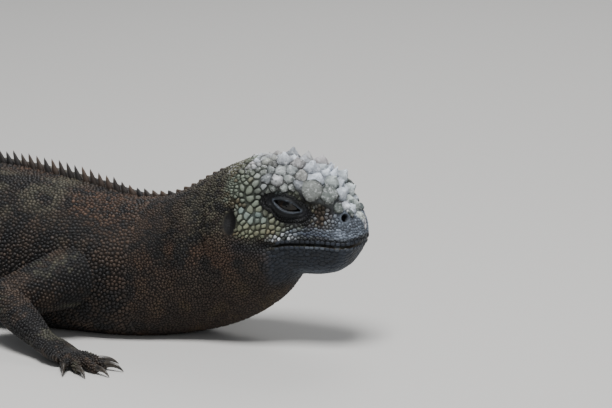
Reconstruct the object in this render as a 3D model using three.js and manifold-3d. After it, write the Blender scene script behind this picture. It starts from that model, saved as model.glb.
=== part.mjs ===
// Marine iguana, an adult female, resting on its belly with the head raised and turned a little to its left.
// Millimetres, +Z up, floor at z = 0. The nose points to +X and the animal's left side is +Y.
// Places along the animal are told by "back", the distance behind the tip of the snout along the spine.
// The origin is on the floor, in the middle of the whole animal as seen from above.
import * as THREE from "three";
import { mergeVertices } from "three/addons/utils/BufferGeometryUtils.js";
import Module from "manifold-3d";

const wasm = await Module();
wasm.setup();

// Driving dimensions
const HEAD_LENGTH = 50; // tip of the snout to the back of the ear
const SNOUT_VENT = 280;
const TAIL_LENGTH = 400;
const BODY_LENGTH = SNOUT_VENT + TAIL_LENGTH;
const LIP_HEIGHT = 42; // the lips at the tip of the snout, above the floor
const SNOUT = [327.8, 10.5]; // where the tip of the snout is, seen from above
const GAP = 0.3; // between neighbouring nodes
const SLIVER = 0.03; // edges shorter than this are closed up
const CUT = 0.35; // thickness of the cut that parts the jaw from the head

// Where one node ends and the next begins, along the spine
const HEAD_END = HEAD_LENGTH + 2;
const NECK_END = 86;
const CHEST_END = 182;
const HIPS_END = SNOUT_VENT + 8;
const TAIL_ENDS = [360, 450, 560, BODY_LENGTH];

const degrees = THREE.MathUtils.degToRad;

// A random number from 0 to 1 that is the same on every run.
function seeded(seed) {
  let state = seed;
  return () => {
    state = (state * 1664525 + 1013904223) % 4294967296;
    return state / 4294967296;
  };
}

// A smooth curve through [place, value] pairs that never overshoots them.
function curve(pairs) {
  const last = pairs.length - 1;
  const rise = (i) => (pairs[i + 1][1] - pairs[i][1]) / (pairs[i + 1][0] - pairs[i][0]);
  const slopes = pairs.map((_, i) => {
    if (i === 0) return rise(0);
    if (i === last) return rise(last - 1);
    const before = rise(i - 1);
    const after = rise(i);
    return before * after <= 0 ? 0 : (2 * before * after) / (before + after);
  });
  return (place) => {
    if (place <= pairs[0][0]) return pairs[0][1];
    if (place >= pairs[last][0]) return pairs[last][1];
    let i = 0;
    while (pairs[i + 1][0] < place) i += 1;
    const span = pairs[i + 1][0] - pairs[i][0];
    const t = (place - pairs[i][0]) / span;
    const [low, high] = [pairs[i][1], pairs[i + 1][1]];
    return (
      low * (1 + 2 * t) * (1 - t) ** 2 +
      high * t * t * (3 - 2 * t) +
      span * (slopes[i] * t * (1 - t) ** 2 - slopes[i + 1] * t * t * (1 - t))
    );
  };
}

// The spine seen from above: which way the animal faces at each place, in degrees to its left of +X
const facing = curve([
  [0, 10],
  [46, 10],
  [84, 3],
  [130, 0],
  [210, -3],
  [270, 2],
  [330, 14],
  [410, 24],
  [500, 10],
  [590, -18],
  [BODY_LENGTH, -40],
]);

// The outline of the body: the top and bottom of each section, its half width and where it is widest
const topOf = curve([
  [0, LIP_HEIGHT + 9.5],
  [3.4, LIP_HEIGHT + 10.4],
  [5.8, LIP_HEIGHT + 13.4],
  [8, LIP_HEIGHT + 17.8],
  [11, LIP_HEIGHT + 22.2],
  [16.5, LIP_HEIGHT + 25.6],
  [24, LIP_HEIGHT + 27.8],
  [33, LIP_HEIGHT + 28.9],
  [42, LIP_HEIGHT + 28.3],
  [51, LIP_HEIGHT + 25.2],
  [61, LIP_HEIGHT + 20],
  [70, LIP_HEIGHT + 14.6],
  [80, LIP_HEIGHT + 10.4],
  [92, 51],
  [115, 54],
  [150, 57.5],
  [190, 58.5],
  [222, 56],
  [250, 50.5],
  [275, 42],
  [292, 36.5],
  [330, 29.5],
  [400, 23],
  [500, 17],
  [600, 11],
  [660, 6],
  [BODY_LENGTH, 2.6],
]);
const bottomOf = curve([
  [0, 38.5],
  [2, 36.8],
  [4, 34],
  [6.5, 31],
  [10.5, 28.6],
  [16.5, 27.4],
  [22, 27.1],
  [25, 26],
  [28, 22.5],
  [31, 18.5],
  [35, 14.8],
  [42, 10],
  [50, 6],
  [60, 2.6],
  [70, 0.4],
  [80, -1.2],
  [100, -2],
  [235, -2],
  [258, -0.6],
  [276, 3.5],
  [292, 3],
  [312, 0.6],
  [330, -0.8],
  [560, -0.7],
  [BODY_LENGTH, -0.3],
]);
const halfWidthOf = curve([
  [0, 8],
  [3, 10],
  [6, 11.4],
  [10, 12.6],
  [15, 13.6],
  [20, 14.5],
  [25, 15.4],
  [30, 16.4],
  [36, 17.8],
  [42, 18.8],
  [48, 19.2],
  [55, 19],
  [62, 19.6],
  [70, 21.8],
  [80, 25.6],
  [90, 28.8],
  [104, 31.5],
  [130, 35.5],
  [160, 38.5],
  [190, 39.5],
  [218, 37],
  [242, 31.5],
  [262, 25.5],
  [278, 20],
  [294, 15.8],
  [315, 12.8],
  [345, 10.6],
  [400, 8],
  [500, 5.2],
  [600, 3.1],
  [BODY_LENGTH, 0.9],
]);
const mouthOf = curve([
  [0, LIP_HEIGHT - 1],
  [5, LIP_HEIGHT - 1.7],
  [15, LIP_HEIGHT - 1],
  [25, LIP_HEIGHT - 1.2],
  [32, LIP_HEIGHT - 2.4],
]);
const widestOf = curve([
  ...[0, 5, 15, 25, 32].map((back) => [back, mouthOf(back)]),
  [46, 37],
  [60, 33],
  [80, 26],
  [100, 23],
  [150, 24],
  [200, 24],
  [250, 22],
  [280, 20.5],
  [300, 18],
  [330, 14.5],
  [400, 11],
  [500, 8],
  [600, 5.2],
  [BODY_LENGTH, 1.2],
]);
// How square the upper and the lower half of each section is: 2 is an ellipse
const squarenessAbove = curve([
  [0, 2.5],
  [10, 2.7],
  [40, 2.6],
  [60, 2.15],
  [100, 2.1],
  [200, 2.1],
  [280, 1.9],
  [340, 1.7],
  [BODY_LENGTH, 1.7],
]);
const squarenessBelow = curve([
  [0, 2.2],
  [30, 2.2],
  [60, 2.3],
  [90, 2.9],
  [230, 2.9],
  [290, 2.3],
  [BODY_LENGTH, 2.1],
]);

// Bulges and hollows on both sides of the body: place as [back, out, up], reach in each direction, and depth
const RELIEF = [
  { name: "brow", at: [24, 13.6, 62.6], reach: [10, 4, 3], by: 2.2 },
  { name: "orbit", at: [27, 15.5, 55.4], reach: [9, 6, 6.5], by: -2.8 },
  { name: "lore", at: [13, 13, 51.5], reach: [5, 5, 4], by: -0.9 },
  { name: "canthus", at: [12, 10.8, 58], reach: [7, 3, 2.5], by: 0.9 },
  { name: "nostril mound", at: [5, 7.6, 50.6], reach: [2.8, 3, 2.8], by: 1.1 },
  { name: "upper lip", at: [14, 14, 44], reach: [12, 6, 2.2], by: 0.8 },
  { name: "lower lip", at: [14, 14, 38.5], reach: [12, 6, 1.6], by: 0.5 },
  { name: "jowl", at: [40, 18.5, 44], reach: [8, 8, 9], by: 1.5 },
  { name: "temple", at: [39, 14, 63], reach: [9, 6, 5], by: 1.2 },
  { name: "ear", at: [47.5, 18.5, 49.7], reach: [3, 5, 4.6], by: -2.2 },
  { name: "fold behind the ear", at: [53.5, 19, 46], reach: [3, 9, 13], by: 1.5 },
  { name: "neck furrow", at: [58.5, 19, 42], reach: [2.6, 9, 16], by: -1.7 },
  { name: "neck fold", at: [65, 20, 38], reach: [3.4, 9, 16], by: 1.5 },
  { name: "second neck furrow", at: [71.5, 21, 34], reach: [2.8, 9, 15], by: -1.4 },
  { name: "corner of the mouth", at: [33.4, 17, 40], reach: [2.4, 4, 1.9], by: -1.3 },
  { name: "jaw bulge", at: [16, 9, 32], reach: [9, 6, 5], by: 0.9 },
  { name: "shoulder", at: [96, 29, 32], reach: [14, 12, 13], by: 2.4 },
  { name: "hip", at: [256, 24, 32], reach: [16, 12, 13], by: 2.6 },
];
const NOSE = { height: LIP_HEIGHT + 3, round: 5, blunt: 2.4 }; // how the front of the snout closes

// Points on the spine, one every millimetre, seen from above
const spine = [new THREE.Vector2(...SNOUT)];
for (let back = 0; back < BODY_LENGTH; back += 1) {
  const way = degrees(facing(back + 0.5));
  const [x, y] = spine[back].toArray();
  spine.push(new THREE.Vector2(x - Math.cos(way), y - Math.sin(way)));
}

// The point at a distance back along the spine, out to the left of it, and up from the floor.
function place(back, out, up) {
  const whole = Math.min(Math.max(Math.floor(back), 0), BODY_LENGTH - 1);
  const { x, y } = spine[whole].clone().lerp(spine[whole + 1], back - whole);
  const way = degrees(facing(back));
  return new THREE.Vector3(x - out * Math.sin(way), y + out * Math.cos(way), up);
}

// How far the front of the snout has closed at a place: 0 at its tip and 1 behind the rounding.
function noseShare(back) {
  const left = Math.max(1 - back / NOSE.round, 0);
  return (1 - left ** NOSE.blunt) ** (1 / NOSE.blunt);
}

// A point of the body's surface. The angle is 0 on the animal's left, 90 degrees on top and 180 on its right.
function bodyPoint(back, angle) {
  const share = noseShare(back);
  const towards = (height) => NOSE.height + (height - NOSE.height) * share;
  const widest = towards(widestOf(back));
  const [sin, cos] = [Math.sin(angle), Math.cos(angle)];
  const above = sin >= 0;
  const power = above ? squarenessAbove(back) : squarenessBelow(back);
  const width = Math.max(halfWidthOf(back) * share, 1e-6);
  const height = Math.max(above ? towards(topOf(back)) - widest : widest - towards(bottomOf(back)), 1e-6);
  const reach = (Math.abs(cos / width) ** power + Math.abs(sin / height) ** power) ** (-1 / power);
  const [out, up] = [reach * cos, reach * sin];
  const slope = new THREE.Vector2(
    (Math.sign(out) * Math.abs(out / width) ** (power - 1)) / width,
    (Math.sign(up) * Math.abs(up / height) ** (power - 1)) / height,
  ).normalize();
  const push = share * RELIEF.reduce((sum, { at, reach: far, by }) => {
    const away =
      ((back - at[0]) / far[0]) ** 2 +
      ((Math.abs(out) - at[1]) / far[1]) ** 2 +
      ((up + widest - at[2]) / far[2]) ** 2;
    return sum + by * Math.exp(-away);
  }, 0);
  return place(back, out + push * slope.x, widest + up + push * slope.y);
}

// The outward direction of the body's surface at a point.
function bodyNormal(back, angle) {
  const step = 0.4;
  const turn = 0.02;
  const along = bodyPoint(back + step, angle).sub(bodyPoint(Math.max(back - step, 0.02), angle));
  const around = bodyPoint(back, angle + turn).sub(bodyPoint(back, angle - turn));
  return around.cross(along).normalize().negate();
}

// A closed geometry from rings of points, each ring as long as the last, with a middle point at each end.
function loft(rings, firstMiddle, lastMiddle) {
  const count = rings[0].length;
  const points = [...rings.flat(), firstMiddle, lastMiddle];
  const faces = [];
  const end = rings.length - 1;
  const at = (ring, i) => ring * count + (i % count);
  for (let i = 0; i < count; i += 1) {
    for (let ring = 0; ring < end; ring += 1) {
      faces.push(at(ring, i), at(ring + 1, i), at(ring + 1, i + 1));
      faces.push(at(ring, i), at(ring + 1, i + 1), at(ring, i + 1));
    }
    faces.push(points.length - 2, at(0, i), at(0, i + 1));
    faces.push(points.length - 1, at(end, i + 1), at(end, i));
  }
  const geometry = new THREE.BufferGeometry().setFromPoints(points);
  geometry.setIndex(faces);
  return geometry;
}

// A geometry as a manifold-3d solid, turned inside out where its faces point inwards.
function solid(geometry) {
  const bare = geometry.clone();
  bare.deleteAttribute("normal");
  bare.deleteAttribute("uv");
  const merged = mergeVertices(bare, 1e-4);
  const make = (triVerts) =>
    new wasm.Manifold(
      new wasm.Mesh({ numProp: 3, vertProperties: merged.attributes.position.array, triVerts }),
    );
  const made = make(new Uint32Array(merged.index.array));
  return made.volume() < 0 ? make(new Uint32Array(merged.index.array).reverse()) : made;
}

// The geometry of a solid's largest closed piece, without the slivers that the cuts leave.
function geometryOf(made) {
  const pieces = made.simplify(SLIVER).decompose();
  const mesh = pieces.reduce((a, b) => (b.volume() > a.volume() ? b : a)).getMesh();
  const geometry = new THREE.BufferGeometry();
  geometry.setAttribute("position", new THREE.BufferAttribute(new Float32Array(mesh.vertProperties), 3));
  geometry.setIndex(new THREE.BufferAttribute(new Uint32Array(mesh.triVerts), 1));
  return geometry;
}

// A geometry with each point moved outwards along its normal.
function grown(geometry, by) {
  const bigger = mergeVertices(geometry.clone(), 1e-4);
  bigger.computeVertexNormals();
  const { position, normal } = bigger.attributes;
  const outwards = solid(geometry).volume() * signedVolume(bigger) < 0 ? -by : by;
  for (let i = 0; i < position.count; i += 1)
    position.setXYZ(
      i,
      position.getX(i) + normal.getX(i) * outwards,
      position.getY(i) + normal.getY(i) * outwards,
      position.getZ(i) + normal.getZ(i) * outwards,
    );
  return bigger;
}

function signedVolume(geometry) {
  const { position } = geometry.attributes;
  const corner = (i) => new THREE.Vector3().fromBufferAttribute(position, geometry.index.getX(i));
  let sum = 0;
  for (let i = 0; i < geometry.index.count; i += 3) sum += corner(i).dot(corner(i + 1).cross(corner(i + 2)));
  return sum / 6;
}

const union = (solids) => solids.reduce((a, b) => a.add(b));

// Everything below the floor, to cut flat what rests on it
const belowFloor = solid(new THREE.BoxGeometry(1600, 1600, 100).translate(0, 0, -50));

// Numbers from low to high with steps of about the given size.
function spread(low, high, step) {
  const count = Math.max(1, Math.round((high - low) / step));
  return Array.from({ length: count + 1 }, (_, i) => low + ((high - low) * i) / count);
}

// Angles round a section, closer together at the mouth line, where the head is widest
const HEAD_ANGLES = [-90, -70, -52, -36, -22, -10, -2, 2, 11, 22, 34, 47, 61, 75, 90];
const bothSides = (angles) => [
  ...angles,
  ...angles
    .slice(1, -1)
    .reverse()
    .map((angle) => 180 - angle),
];
const evenly = (count) => Array.from({ length: count }, (_, i) => (i * 360) / count - 90);

// A stretch of the body between two places, closed by flat ends.
function stretch(backs, angles) {
  const rings = backs.map((back) => angles.map((angle) => bodyPoint(back, degrees(angle))));
  const middle = (back) => place(back, 0, NOSE.height + (widestOf(back) - NOSE.height) * noseShare(back));
  return loft(rings, middle(backs[0]), middle(backs.at(-1)));
}

// Stands a geometry, built along +Z, on the body's surface. lean tips it towards the tail, in degrees.
function plant(geometry, back, angle, { sink = 0, lean = 0, spin = 0 } = {}) {
  const up = bodyNormal(back, angle);
  const tailwards = place(back + 1, 0, 0).sub(place(back, 0, 0)).normalize();
  const side = new THREE.Vector3().crossVectors(up, tailwards).normalize();
  const along = new THREE.Vector3().crossVectors(side, up);
  const root = bodyPoint(back, angle).addScaledVector(up, -sink);
  const turned = new THREE.Matrix4().makeBasis(along, side, up).setPosition(root);
  return geometry
    .clone()
    .rotateZ(spin)
    .rotateY(degrees(lean))
    .applyMatrix4(turned);
}

// A blunt cone, wide and high, with its root sunk, for the shields of the crown
const SHIELD_SINK = 1.6;
function shield(radius, height, sides) {
  const outline = [
    [0, -SHIELD_SINK],
    [radius * 0.96, -SHIELD_SINK],
    [radius * 0.78, height * 0.56],
    [0, height],
  ].map(([x, y]) => new THREE.Vector2(x, y));
  return new THREE.LatheGeometry(outline, sides).rotateX(Math.PI / 2);
}

// A flattened, pointed spine that bends towards the tail, with a root of four corners
const SPINE_SINK = 2.2;
function spineOf(length, width, height) {
  const root = [
    new THREE.Vector3(length / 2, 0, -SPINE_SINK),
    new THREE.Vector3(0, width / 2, -SPINE_SINK),
    new THREE.Vector3(-length / 2, 0, -SPINE_SINK),
    new THREE.Vector3(0, -width / 2, -SPINE_SINK),
  ];
  return loft([root], new THREE.Vector3(0, 0, -SPINE_SINK), new THREE.Vector3(0.5 * height, 0, height));
}

// The crest down the back: how high its spines stand and how far apart they are
const crestHeight = curve([
  [52, 0.4],
  [68, 0.8],
  [84, 2.2],
  [102, 4.4],
  [122, 5.2],
  [150, 4.8],
  [200, 4.4],
  [262, 3.4],
  [300, 3.8],
  [420, 3.8],
  [560, 2.8],
  [BODY_LENGTH, 1.2],
]);
const crestStep = curve([
  [54, 3.8],
  [80, 5],
  [250, 5.6],
  [420, 7.2],
  [BODY_LENGTH, 7],
]);

// The crest's spines that stand on the body between two places.
function crest(from, to) {
  const chance = seeded(Math.round(from));
  const count = Math.round((to - from) / crestStep((from + to) / 2));
  const step = (to - from) / count;
  return Array.from({ length: count }, (_, i) => {
    const back = from + (i + 0.5 + 0.12 * (chance() - 0.5)) * step;
    const height = crestHeight(back) * (0.86 + 0.28 * chance());
    const made = spineOf(step * 0.9, Math.min(2.4, 1.2 + height * 0.24), height);
    return solid(plant(made, back, Math.PI / 2));
  });
}

// The head
const nosePlaces = [0.2, 0.7, 1.6, 2.9];
const headPlaces = [...nosePlaces, ...spread(4.4, 33, 2.8), ...spread(36, HEAD_END - GAP, 3.2)];
const headSkin = stretch(headPlaces, bothSides(HEAD_ANGLES));

// The eye, its lids and the slit between them, on one side of the head
const EYE = {
  back: 27.3,
  out: 8.3,
  up: LIP_HEIGHT + 12.7,
  radius: 6.3,
  lid: 7.3,
  slit: [10.6, 3.3],
  slant: 19,
};
function eyeParts(side) {
  const centre = place(EYE.back, side * EYE.out, EYE.up);
  const outwards = place(EYE.back - 0.2, side * (EYE.out + 1), EYE.up + 0.06).sub(centre).normalize();
  const ball = (radius, wide, high) => new THREE.SphereGeometry(radius, wide, high).translate(...centre);
  const [wide, high] = EYE.slit;
  const corner = wide / 2;
  const lens = new THREE.Shape()
    .moveTo(-corner, 0)
    .quadraticCurveTo(0, -high, corner, 0)
    .quadraticCurveTo(0, high, -corner, 0);
  const forwards = place(0, 0, 0).sub(place(10, 0, 0)).normalize();
  const across = forwards.clone().addScaledVector(outwards, -forwards.dot(outwards)).normalize();
  const upwards = new THREE.Vector3().crossVectors(outwards, across);
  if (upwards.z < 0) upwards.negate();
  const slit = new THREE.ExtrudeGeometry(lens, { depth: EYE.lid + 3, bevelEnabled: false, curveSegments: 4 })
    .rotateZ(degrees(-EYE.slant))
    .applyMatrix4(new THREE.Matrix4().makeBasis(across, upwards, outwards).setPosition(centre));
  return {
    lids: ball(EYE.lid, 14, 9),
    socket: ball(EYE.radius + GAP, 12, 8),
    slit,
    eye: ball(EYE.radius, 12, 8),
  };
}
const eyes = { left: eyeParts(1), right: eyeParts(-1) };

// A nostril: a short oval pit that opens out and forwards
const NOSTRIL = { back: 5, angle: 51, wide: 2.5, high: 2.9, depth: 3.2 };
function nostril(side) {
  const angle = degrees(side > 0 ? NOSTRIL.angle : 180 - NOSTRIL.angle);
  const pit = new THREE.SphereGeometry(1, 8, 6).scale(NOSTRIL.wide / 2, NOSTRIL.high / 2, NOSTRIL.depth);
  return solid(plant(pit, NOSTRIL.back, angle, { sink: 0.4 }));
}

// The shields of the crown, in rows across it from brow to brow
const SHIELD_ROWS = spread(3.6, 48.6, 4.5);
const shieldSize = curve([
  [3, 1.9],
  [9, 2.9],
  [18, 2.9],
  [30, 2.6],
  [50, 2.1],
]);
const shieldHeight = curve([
  [3, 1.5],
  [9, 2.9],
  [20, 2.6],
  [34, 2],
  [50, 1.1],
]);
const crownEdge = curve([
  [3, 58],
  [10, 54],
  [24, 62],
  [34, 60],
  [50, 66],
]);
// The largest shields of the snout and brow, on both sides: back, angle, radius and height
const LARGE_SHIELDS = [
  [17.4, 59, 2.9, 1.7],
  [11.3, 61, 2.5, 2.1],
  [7.6, 57, 1.8, 1.5],
  [8.1, 76, 2.4, 2.8],
  [4.4, 62, 1.8, 1.5],
  [4.9, 80, 2, 2.2],
  [11.4, 77, 2.4, 3.6],
  [15, 79, 2.5, 3.7],
  [19.4, 80, 2.6, 3.8],
  [25, 80, 2.4, 3.4],
  [30.5, 82, 2.6, 3.6],
];
function crownShields() {
  const chance = seeded(11);
  const large = LARGE_SHIELDS.flatMap(([back, angle, radius, height]) =>
    [angle, 180 - angle].map((turn) => ({ back, turn: degrees(turn), radius, height })),
  );
  const made = large.map(({ back, turn, radius, height }) =>
    solid(plant(shield(radius, height, 6), back, turn, { spin: chance() })),
  );
  const taken = (point, size) =>
    large.some(({ back, turn, radius }) => bodyPoint(back, turn).distanceTo(point) < (radius + size) * 0.72);
  SHIELD_ROWS.forEach((back, row) => {
    const edge = degrees(crownEdge(back));
    const arc = spread(edge, Math.PI - edge, 0.1)
      .map((angle) => bodyPoint(back, angle))
      .reduce((sum, point, i, all) => sum + (i ? point.distanceTo(all[i - 1]) : 0), 0);
    const count = Math.max(3, Math.round(arc / (2 * shieldSize(back) * 0.94)));
    for (let i = 0; i < count; i += 1) {
      const share = (i + (row % 2 ? 0.5 : 0.25) + 0.22 * (chance() - 0.5)) / count;
      const angle = edge + (Math.PI - 2 * edge) * Math.min(share, 1);
      const size = 0.88 + 0.26 * chance();
      const cone = shield(shieldSize(back) * size, shieldHeight(back) * (0.8 + 0.4 * chance()), 5);
      const where = back + (chance() - 0.5) * 1.1;
      const turned = { spin: chance() * 2, lean: -8 + 12 * chance() };
      if (taken(bodyPoint(where, angle), shieldSize(back) * size)) continue;
      made.push(solid(plant(cone, where, angle, turned)));
    }
  });
  return made;
}

// The cut along the mouth, which turns down behind its corner and parts the jaw from the head
const MOUTH_CORNER = 32;
const JAW_END = [41, 5]; // where the cut leaves the throat, back and up
function mouthCut() {
  const line = [...spread(-3, MOUTH_CORNER, 4).map((back) => [back, mouthOf(back)]), JAW_END];
  const half = CUT / 2;
  const outline = [
    ...line.map(([back, up]) => [back + half, up + half]),
    ...line.map(([back, up]) => [back - half, up - half]).reverse(),
  ];
  const shape = new THREE.Shape(outline.map(([back, up]) => new THREE.Vector2(-back, up)));
  const way = degrees(facing(0));
  const band = new THREE.ExtrudeGeometry(shape, { depth: 80, bevelEnabled: false }).translate(0, 0, -40);
  return solid(band.rotateX(Math.PI / 2).rotateZ(way).translate(...SNOUT, 0));
}

const wholeHead = union([
  solid(headSkin),
  solid(eyes.left.lids),
  solid(eyes.right.lids),
  ...crownShields(),
])
  .subtract(solid(eyes.left.socket).add(solid(eyes.left.slit)))
  .subtract(solid(eyes.right.socket).add(solid(eyes.right.slit)))
  .subtract(nostril(1).add(nostril(-1)));
const [upperHead, lowerJaw] = wholeHead
  .subtract(mouthCut())
  .decompose()
  .sort((a, b) => b.volume() - a.volume());

// The neck, trunk and tail
const trunkAngles = evenly(24);
const neckSkin = stretch(spread(HEAD_END, NECK_END - GAP, 4), trunkAngles);
const chestSkin = stretch(spread(NECK_END, CHEST_END - GAP, 8), trunkAngles);
const hipsSkin = stretch(spread(CHEST_END, HIPS_END - GAP, 8), trunkAngles);
const tailStarts = [HIPS_END, ...TAIL_ENDS.slice(0, -1)];
const tailSkins = tailStarts.map((from, i) => {
  const to = TAIL_ENDS[i] - (i < TAIL_ENDS.length - 1 ? GAP : 0);
  return stretch(spread(from, to, i === 0 ? 9 : 13), evenly(12));
});

const withCrest = (skin, from, to) => union([solid(skin), ...crest(from, to)]).subtract(belowFloor);

// A rounded bar through points, with [along, across, upright] half widths; its ends reach past the points.
function bar(points, sizes, sides = 10) {
  const line = new THREE.CatmullRomCurve3(points, false, "centripetal");
  const length = line.getLength();
  const across = curve(sizes.map(([along, wide]) => [along, wide]));
  const upright = curve(sizes.map(([along, , tall]) => [along, tall]));
  const past = (share) => Math.min(across(share), upright(share)) * 0.9;
  const ring = (share, reach, size) => {
    const tangent = line.getTangentAt(share);
    const side = new THREE.Vector3(0, 0, 1).cross(tangent).normalize();
    const up = new THREE.Vector3().crossVectors(tangent, side);
    const middle = line.getPointAt(share).addScaledVector(tangent, reach);
    const points = Array.from({ length: sides }, (_, i) => {
      const angle = (i * 2 * Math.PI) / sides;
      return middle
        .clone()
        .addScaledVector(side, Math.cos(angle) * across(share) * size)
        .addScaledVector(up, Math.sin(angle) * upright(share) * size);
    });
    return { middle, points };
  };
  const first = ring(0, -past(0), 1).middle;
  const last = ring(1, past(1), 1).middle;
  const rings = [
    ...(sides > 6 ? [ring(0, -past(0) * 0.76, 0.64)] : []),
    ...spread(0, 1, (sides > 6 ? 8 : 10) / length).map((share) => ring(share, 0, 1)),
    ring(1, past(1) * 0.76, 0.64),
  ];
  return loft(rings.map(({ points: around }) => around), first, last);
}

// Joints of a fore and a hind limb as [back, out, up], and the half widths between them
const FORE = {
  hip: [97, 18, 27],
  bend: [123, 47, 16.5],
  wrist: [98, 60, 6.4],
  knuckles: [87, 64, 3.6],
  upper: [
    [0, 12.5, 13.5],
    [0.5, 9.6, 11],
    [1, 6.8, 7.4],
  ],
  lower: [
    [0, 6.6, 7],
    [0.4, 6.6, 6.4],
    [1, 4.5, 4.2],
  ],
  palm: [
    [0, 4.6, 3.8],
    [0.6, 6.4, 3.4],
    [1, 6.4, 2.7],
  ],
  digits: [
    { fan: 44, length: 10 },
    { fan: 22, length: 14.5 },
    { fan: 2, length: 17.5 },
    { fan: -19, length: 16.5 },
    { fan: -46, length: 11.5 },
  ],
};
// The left hand rests further back than the right one
const FORE_LEFT = { ...FORE, bend: [128, 44, 17], wrist: [108, 61, 6.4], knuckles: [97, 65, 3.6] };
const HIND = {
  hip: [257, 13, 27],
  bend: [229, 57, 21],
  wrist: [262, 74, 7.4],
  knuckles: [248, 85, 3.8],
  upper: [
    [0, 15.5, 15.5],
    [0.5, 12.4, 13.6],
    [1, 7.6, 8.2],
  ],
  lower: [
    [0, 7.4, 8],
    [0.35, 7.6, 8],
    [1, 4.8, 4.6],
  ],
  palm: [
    [0, 4.8, 4.4],
    [0.6, 6.2, 3.8],
    [1, 6.6, 2.8],
  ],
  digits: [
    { fan: 42, length: 11 },
    { fan: 21, length: 17 },
    { fan: 2, length: 23 },
    { fan: -16, length: 30 },
    { fan: -52, length: 17 },
  ],
};
const DIGIT = [
  [0, 2.5, 2.6],
  [0.6, 2, 2.2],
  [1, 1.6, 1.8],
];

// A curved claw along +X from its root, pointing down at its tip.
function clawOf(length, radius) {
  const line = new THREE.QuadraticBezierCurve3(
    new THREE.Vector3(-2.2, 0, -0.2),
    new THREE.Vector3(length * 0.55, 0, length * 0.22),
    new THREE.Vector3(length, 0, -length * 0.24),
  );
  const rings = [0, 0.4, 0.8].map((share) => {
    const tangent = line.getTangentAt(share);
    const up = new THREE.Vector3(0, 1, 0).cross(tangent).negate();
    const size = radius * (1 - share) ** 0.7;
    return evenly(5).map((angle) =>
      line
        .getPointAt(share)
        .addScaledVector(new THREE.Vector3(0, 1, 0), Math.cos(degrees(angle)) * size * 0.8)
        .addScaledVector(up, Math.sin(degrees(angle)) * size),
    );
  });
  return loft(rings, line.getPointAt(0), line.getPointAt(1));
}
const CLAW = { length: 7.2, radius: 1.4 };

// A thin slab that parts a limb where it bends, halfway between the directions to the two neighbours.
function jointCut(at, before, after) {
  const normal = before.clone().sub(at).normalize().sub(after.clone().sub(at).normalize()).normalize();
  const turn = new THREE.Quaternion().setFromUnitVectors(new THREE.Vector3(0, 0, 1), normal);
  return solid(new THREE.BoxGeometry(34, 34, GAP).applyQuaternion(turn).translate(...at));
}

// One limb of the animal's left (side 1) or right (side -1): its three lengths and its claws.
function limb(joints, side, trunk) {
  const [hip, bend, wrist, knuckles] = [joints.hip, joints.bend, joints.wrist, joints.knuckles].map(
    ([back, out, up]) => place(back, side * out, up),
  );
  const ahead = knuckles.clone().sub(wrist).setZ(0).normalize();
  const digits = joints.digits.map(({ fan, length }) => {
    const way = ahead.clone().applyAxisAngle(new THREE.Vector3(0, 0, 1), side * degrees(fan));
    const spot = (along, up) => knuckles.clone().addScaledVector(way, along).setZ(up);
    const line = [spot(-2, 2.9), spot(length * 0.45, 3.4), spot(length, 1.7)];
    const turned = new THREE.Matrix4().makeBasis(
      way,
      new THREE.Vector3(-way.y, way.x, 0),
      new THREE.Vector3(0, 0, 1),
    );
    const claw = clawOf(CLAW.length, CLAW.radius).applyMatrix4(turned.setPosition(spot(length + 0.7, 1.9)));
    return { digit: bar(line, DIGIT, 5), claw };
  });
  const bars = [
    bar([hip, hip.clone().lerp(bend, 0.5), bend], joints.upper, 12),
    bar([bend, bend.clone().lerp(wrist, 0.5), wrist], joints.lower, 10),
    bar([wrist, wrist.clone().lerp(knuckles, 0.5), knuckles], joints.palm, 10),
  ];
  const pieces = union([...bars, ...digits.map(({ digit }) => digit)].map(solid))
    .subtract(trunk)
    .subtract(belowFloor)
    .subtract(jointCut(bend, hip, wrist))
    .subtract(jointCut(wrist, bend, knuckles))
    .decompose()
    .sort((a, b) => b.volume() - a.volume())
    .slice(0, 3);
  const nearest = (point) => {
    const away = (piece) => {
      const { min, max } = piece.boundingBox();
      return point.distanceTo(new THREE.Vector3(...min).add(new THREE.Vector3(...max)).divideScalar(2));
    };
    return pieces.reduce((a, b) => (away(b) < away(a) ? b : a));
  };
  const fingers = union(digits.map(({ digit }) => solid(grown(digit, GAP))));
  return {
    upper: nearest(hip.clone().lerp(bend, 0.7)),
    lower: nearest(bend.clone().lerp(wrist, 0.5)),
    hand: nearest(knuckles.clone().addScaledVector(ahead, 5)),
    claws: digits.map(({ claw }) => solid(claw).subtract(fingers).subtract(belowFloor)),
  };
}

// Materials
const skinDark = new THREE.MeshStandardMaterial({ color: 0x2b2a29, roughness: 0.8 });
const crownPale = new THREE.MeshStandardMaterial({ color: 0x4a4b48, roughness: 0.85 });
const limbDark = new THREE.MeshStandardMaterial({ color: 0x272625, roughness: 0.8 });
const eyeDark = new THREE.MeshStandardMaterial({ color: 0x1a120b, roughness: 0.15 });
const clawHorn = new THREE.MeshStandardMaterial({ color: 0x1d1a18, roughness: 0.5 });

const iguana = new THREE.Group();
function add(name, made, material) {
  const mesh = new THREE.Mesh(geometryOf(made), material);
  mesh.name = name;
  iguana.add(mesh);
}

add("head", upperHead, crownPale);
add("lower_jaw", lowerJaw, skinDark);
add("eye_left", solid(eyes.left.eye), eyeDark);
add("eye_right", solid(eyes.right.eye), eyeDark);
add("neck", withCrest(neckSkin, HEAD_END, NECK_END - GAP), skinDark);
add("torso_front", withCrest(chestSkin, NECK_END, CHEST_END - GAP), skinDark);
add("torso_rear", withCrest(hipsSkin, CHEST_END, HIPS_END - GAP), skinDark);
tailSkins.forEach((skin, i) => {
  const to = TAIL_ENDS[i] - (i < TAIL_ENDS.length - 1 ? GAP : 3);
  add(`tail_${i + 1}`, withCrest(skin, tailStarts[i], to), skinDark);
});

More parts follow.
